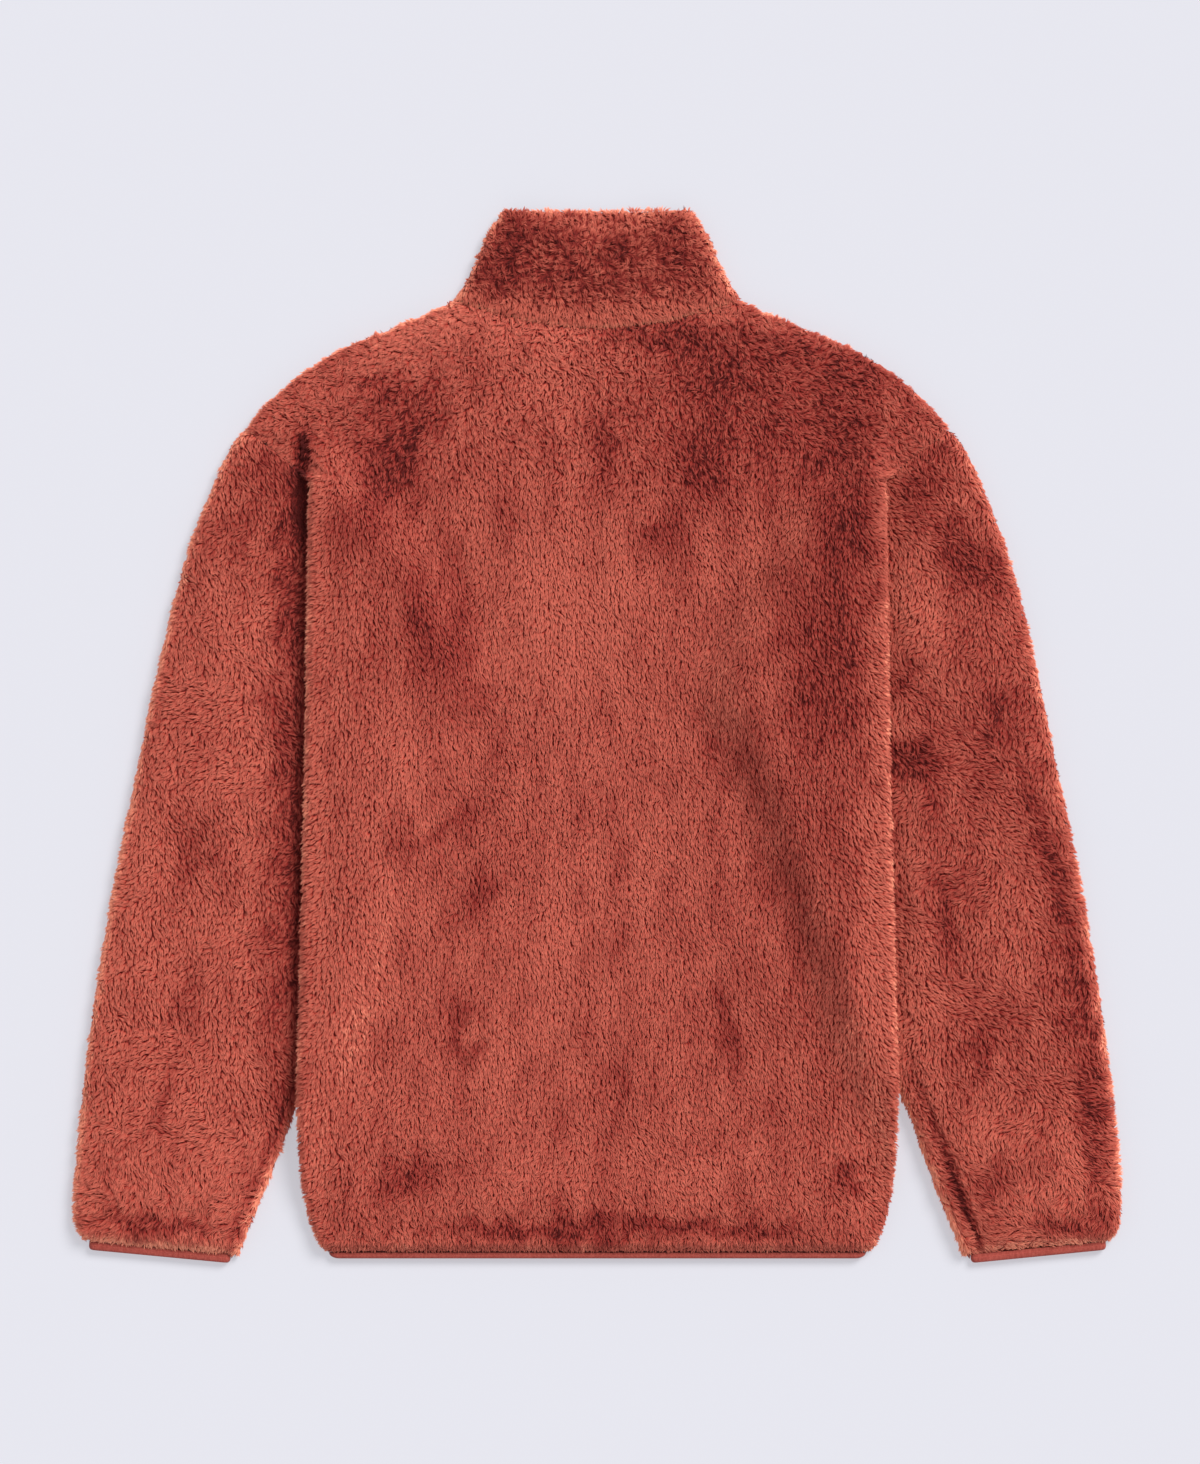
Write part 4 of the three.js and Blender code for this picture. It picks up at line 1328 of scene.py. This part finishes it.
def tapeSurfaces(width, share, place):
    # Outer and inner loops of one cross-section of a tape that is folded flat
    layer, gap = tape["layer"], cloth["layerGap"]
    distance = ringDistances(np.array([width]), np.array([layer]), tape["columnsInside"])[0]
    rounding = np.clip((share - tape["roundFrom"]) / (1 - tape["roundFrom"]), 0, 0.995)
    thick = max(tape["leastThick"], math.sqrt(1 - rounding**2))
    arc = quarter(np.minimum(distance, width - distance) / layer)
    middle = layer + gap / 2
    step, fromCrease = tape["creaseStep"], share - tape["creaseAt"]
    lowered = tape["crease"] * (step * (fromCrease < 0) + (1 - step) * (abs(fromCrease) < 0.02))
    outerHalf = np.maximum(cloth["rim"], (gap / 2 + layer * (0.5 + 0.5 * thick) - lowered) * arc)
    innerHalf = gap / 2 + layer * (0.5 - 0.5 * thick) * arc
    least = layer * (0.5 + 0.02 * (1 + np.arange(len(distance))))
    within = np.clip(distance, least, width - least[::-1])
    outer = [place(d, middle + h) for d, h in zip(distance, outerHalf)]
    outer += [place(d, max(tape["floorGap"], middle - h)) for d, h in zip(distance[::-1], outerHalf[::-1])]
    inner = [place(d, middle + h) for d, h in zip(within, innerHalf)]
    inner += [place(d, middle - h) for d, h in zip(within[::-1], innerHalf[::-1])]
    return outer, inner


def stitchRow(name, start, end, height):
    # One mesh of short rounded stitches between two points
    run = end - start
    along = run / np.linalg.norm(run)
    side = np.array([-along[1], along[0], 0])
    up = np.array([0, 0, 1.0])
    count = int(np.linalg.norm(run) / tape["stitchStep"])
    points, faces = [], []
    angles = np.linspace(0, 2 * math.pi, 6, endpoint=False)
    for i in range(count):
        middle = start + run * ((i + 0.5) / count)
        faces.append(gridFaces(len(tape["stitch"]), len(angles), True, len(points))[:, [0, 3, 2, 1]])
        slant = rng.normal(0, 0.05)
        for place, thick in tape["stitch"]:
            centre = middle + along * place * tape["stitchLong"] + side * (place * slant)
            for angle in angles:
                ring = side * math.cos(angle) + up * math.sin(angle)
                points.append(centre + up * height + ring * tape["threadThick"] / 2 * thick)
    return dress(addMesh(name, np.array(points), np.concatenate(faces)), "thread")


def bindingOn(node, begin, end, look):
    # A tape along an edge of the cloth from begin to end, and its row of stitches
    length = np.linalg.norm(end - begin)
    along = (end - begin) / length
    down = np.array([along[1], -along[0]])
    down = down if down[1] < 0 else -down

    def placeAt(far, share, z):
        x, y = begin + along * far + down * (cloth["seamGap"] + look["high"] * share)
        return np.array([x, y + frameShift, z])

    loops = []
    for share in tape["shares"]:
        turned = max(0, share - look["cornerFrom"]) / (1 - look["cornerFrom"])
        corner = look["corner"] * (1 - math.sqrt(1 - look["cornerRound"] * turned**2))
        loops.append(tapeSurfaces(length - 2 * corner, share, lambda d, z: placeAt(corner + d, share, z)))
    outer, inner = (np.array(surface) for surface in zip(*loops))
    made = dress(thinSheet(node + "_tape", outer, inner, True), "tape")
    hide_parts(node)
    inset, line = look["stitchInset"], look["line"]
    ends = placeAt(inset, line, 0), placeAt(length - inset, line, 0)
    return made, stitchRow(node + "_stitches", *ends, 2 * tape["layer"] + cloth["layerGap"])


def cuffBinding(side):
    out, low = (edge[0] for edge in sleeveEdges(side, np.array([1.0])))
    across = (low - out) / np.linalg.norm(low - out)
    mirror = np.array([sleeves["sign"][side], 1])
    begin, end = (out + across * cuffInsets["outer"]) * mirror, (low - across * cuffInsets["inner"]) * mirror
    return bindingOn("cuff_binding_" + side, begin, end, cuffTape)


hemEnds = np.array([[-hemHalf, body["hemY"]], [hemHalf, body["hemY"]]])
bindings = {
    "cuff_binding_left": cuffBinding("left"),
    "cuff_binding_right": cuffBinding("right"),
    "hem_binding": bindingOn("hem_binding", *hemEnds, hemTape),
}
print("bindings made")
shown = [o for o in bpy.context.scene.objects if o.type == "MESH" and not o.hide_render]
print("faces in all", sum(len(o.data.polygons) for o in shown))
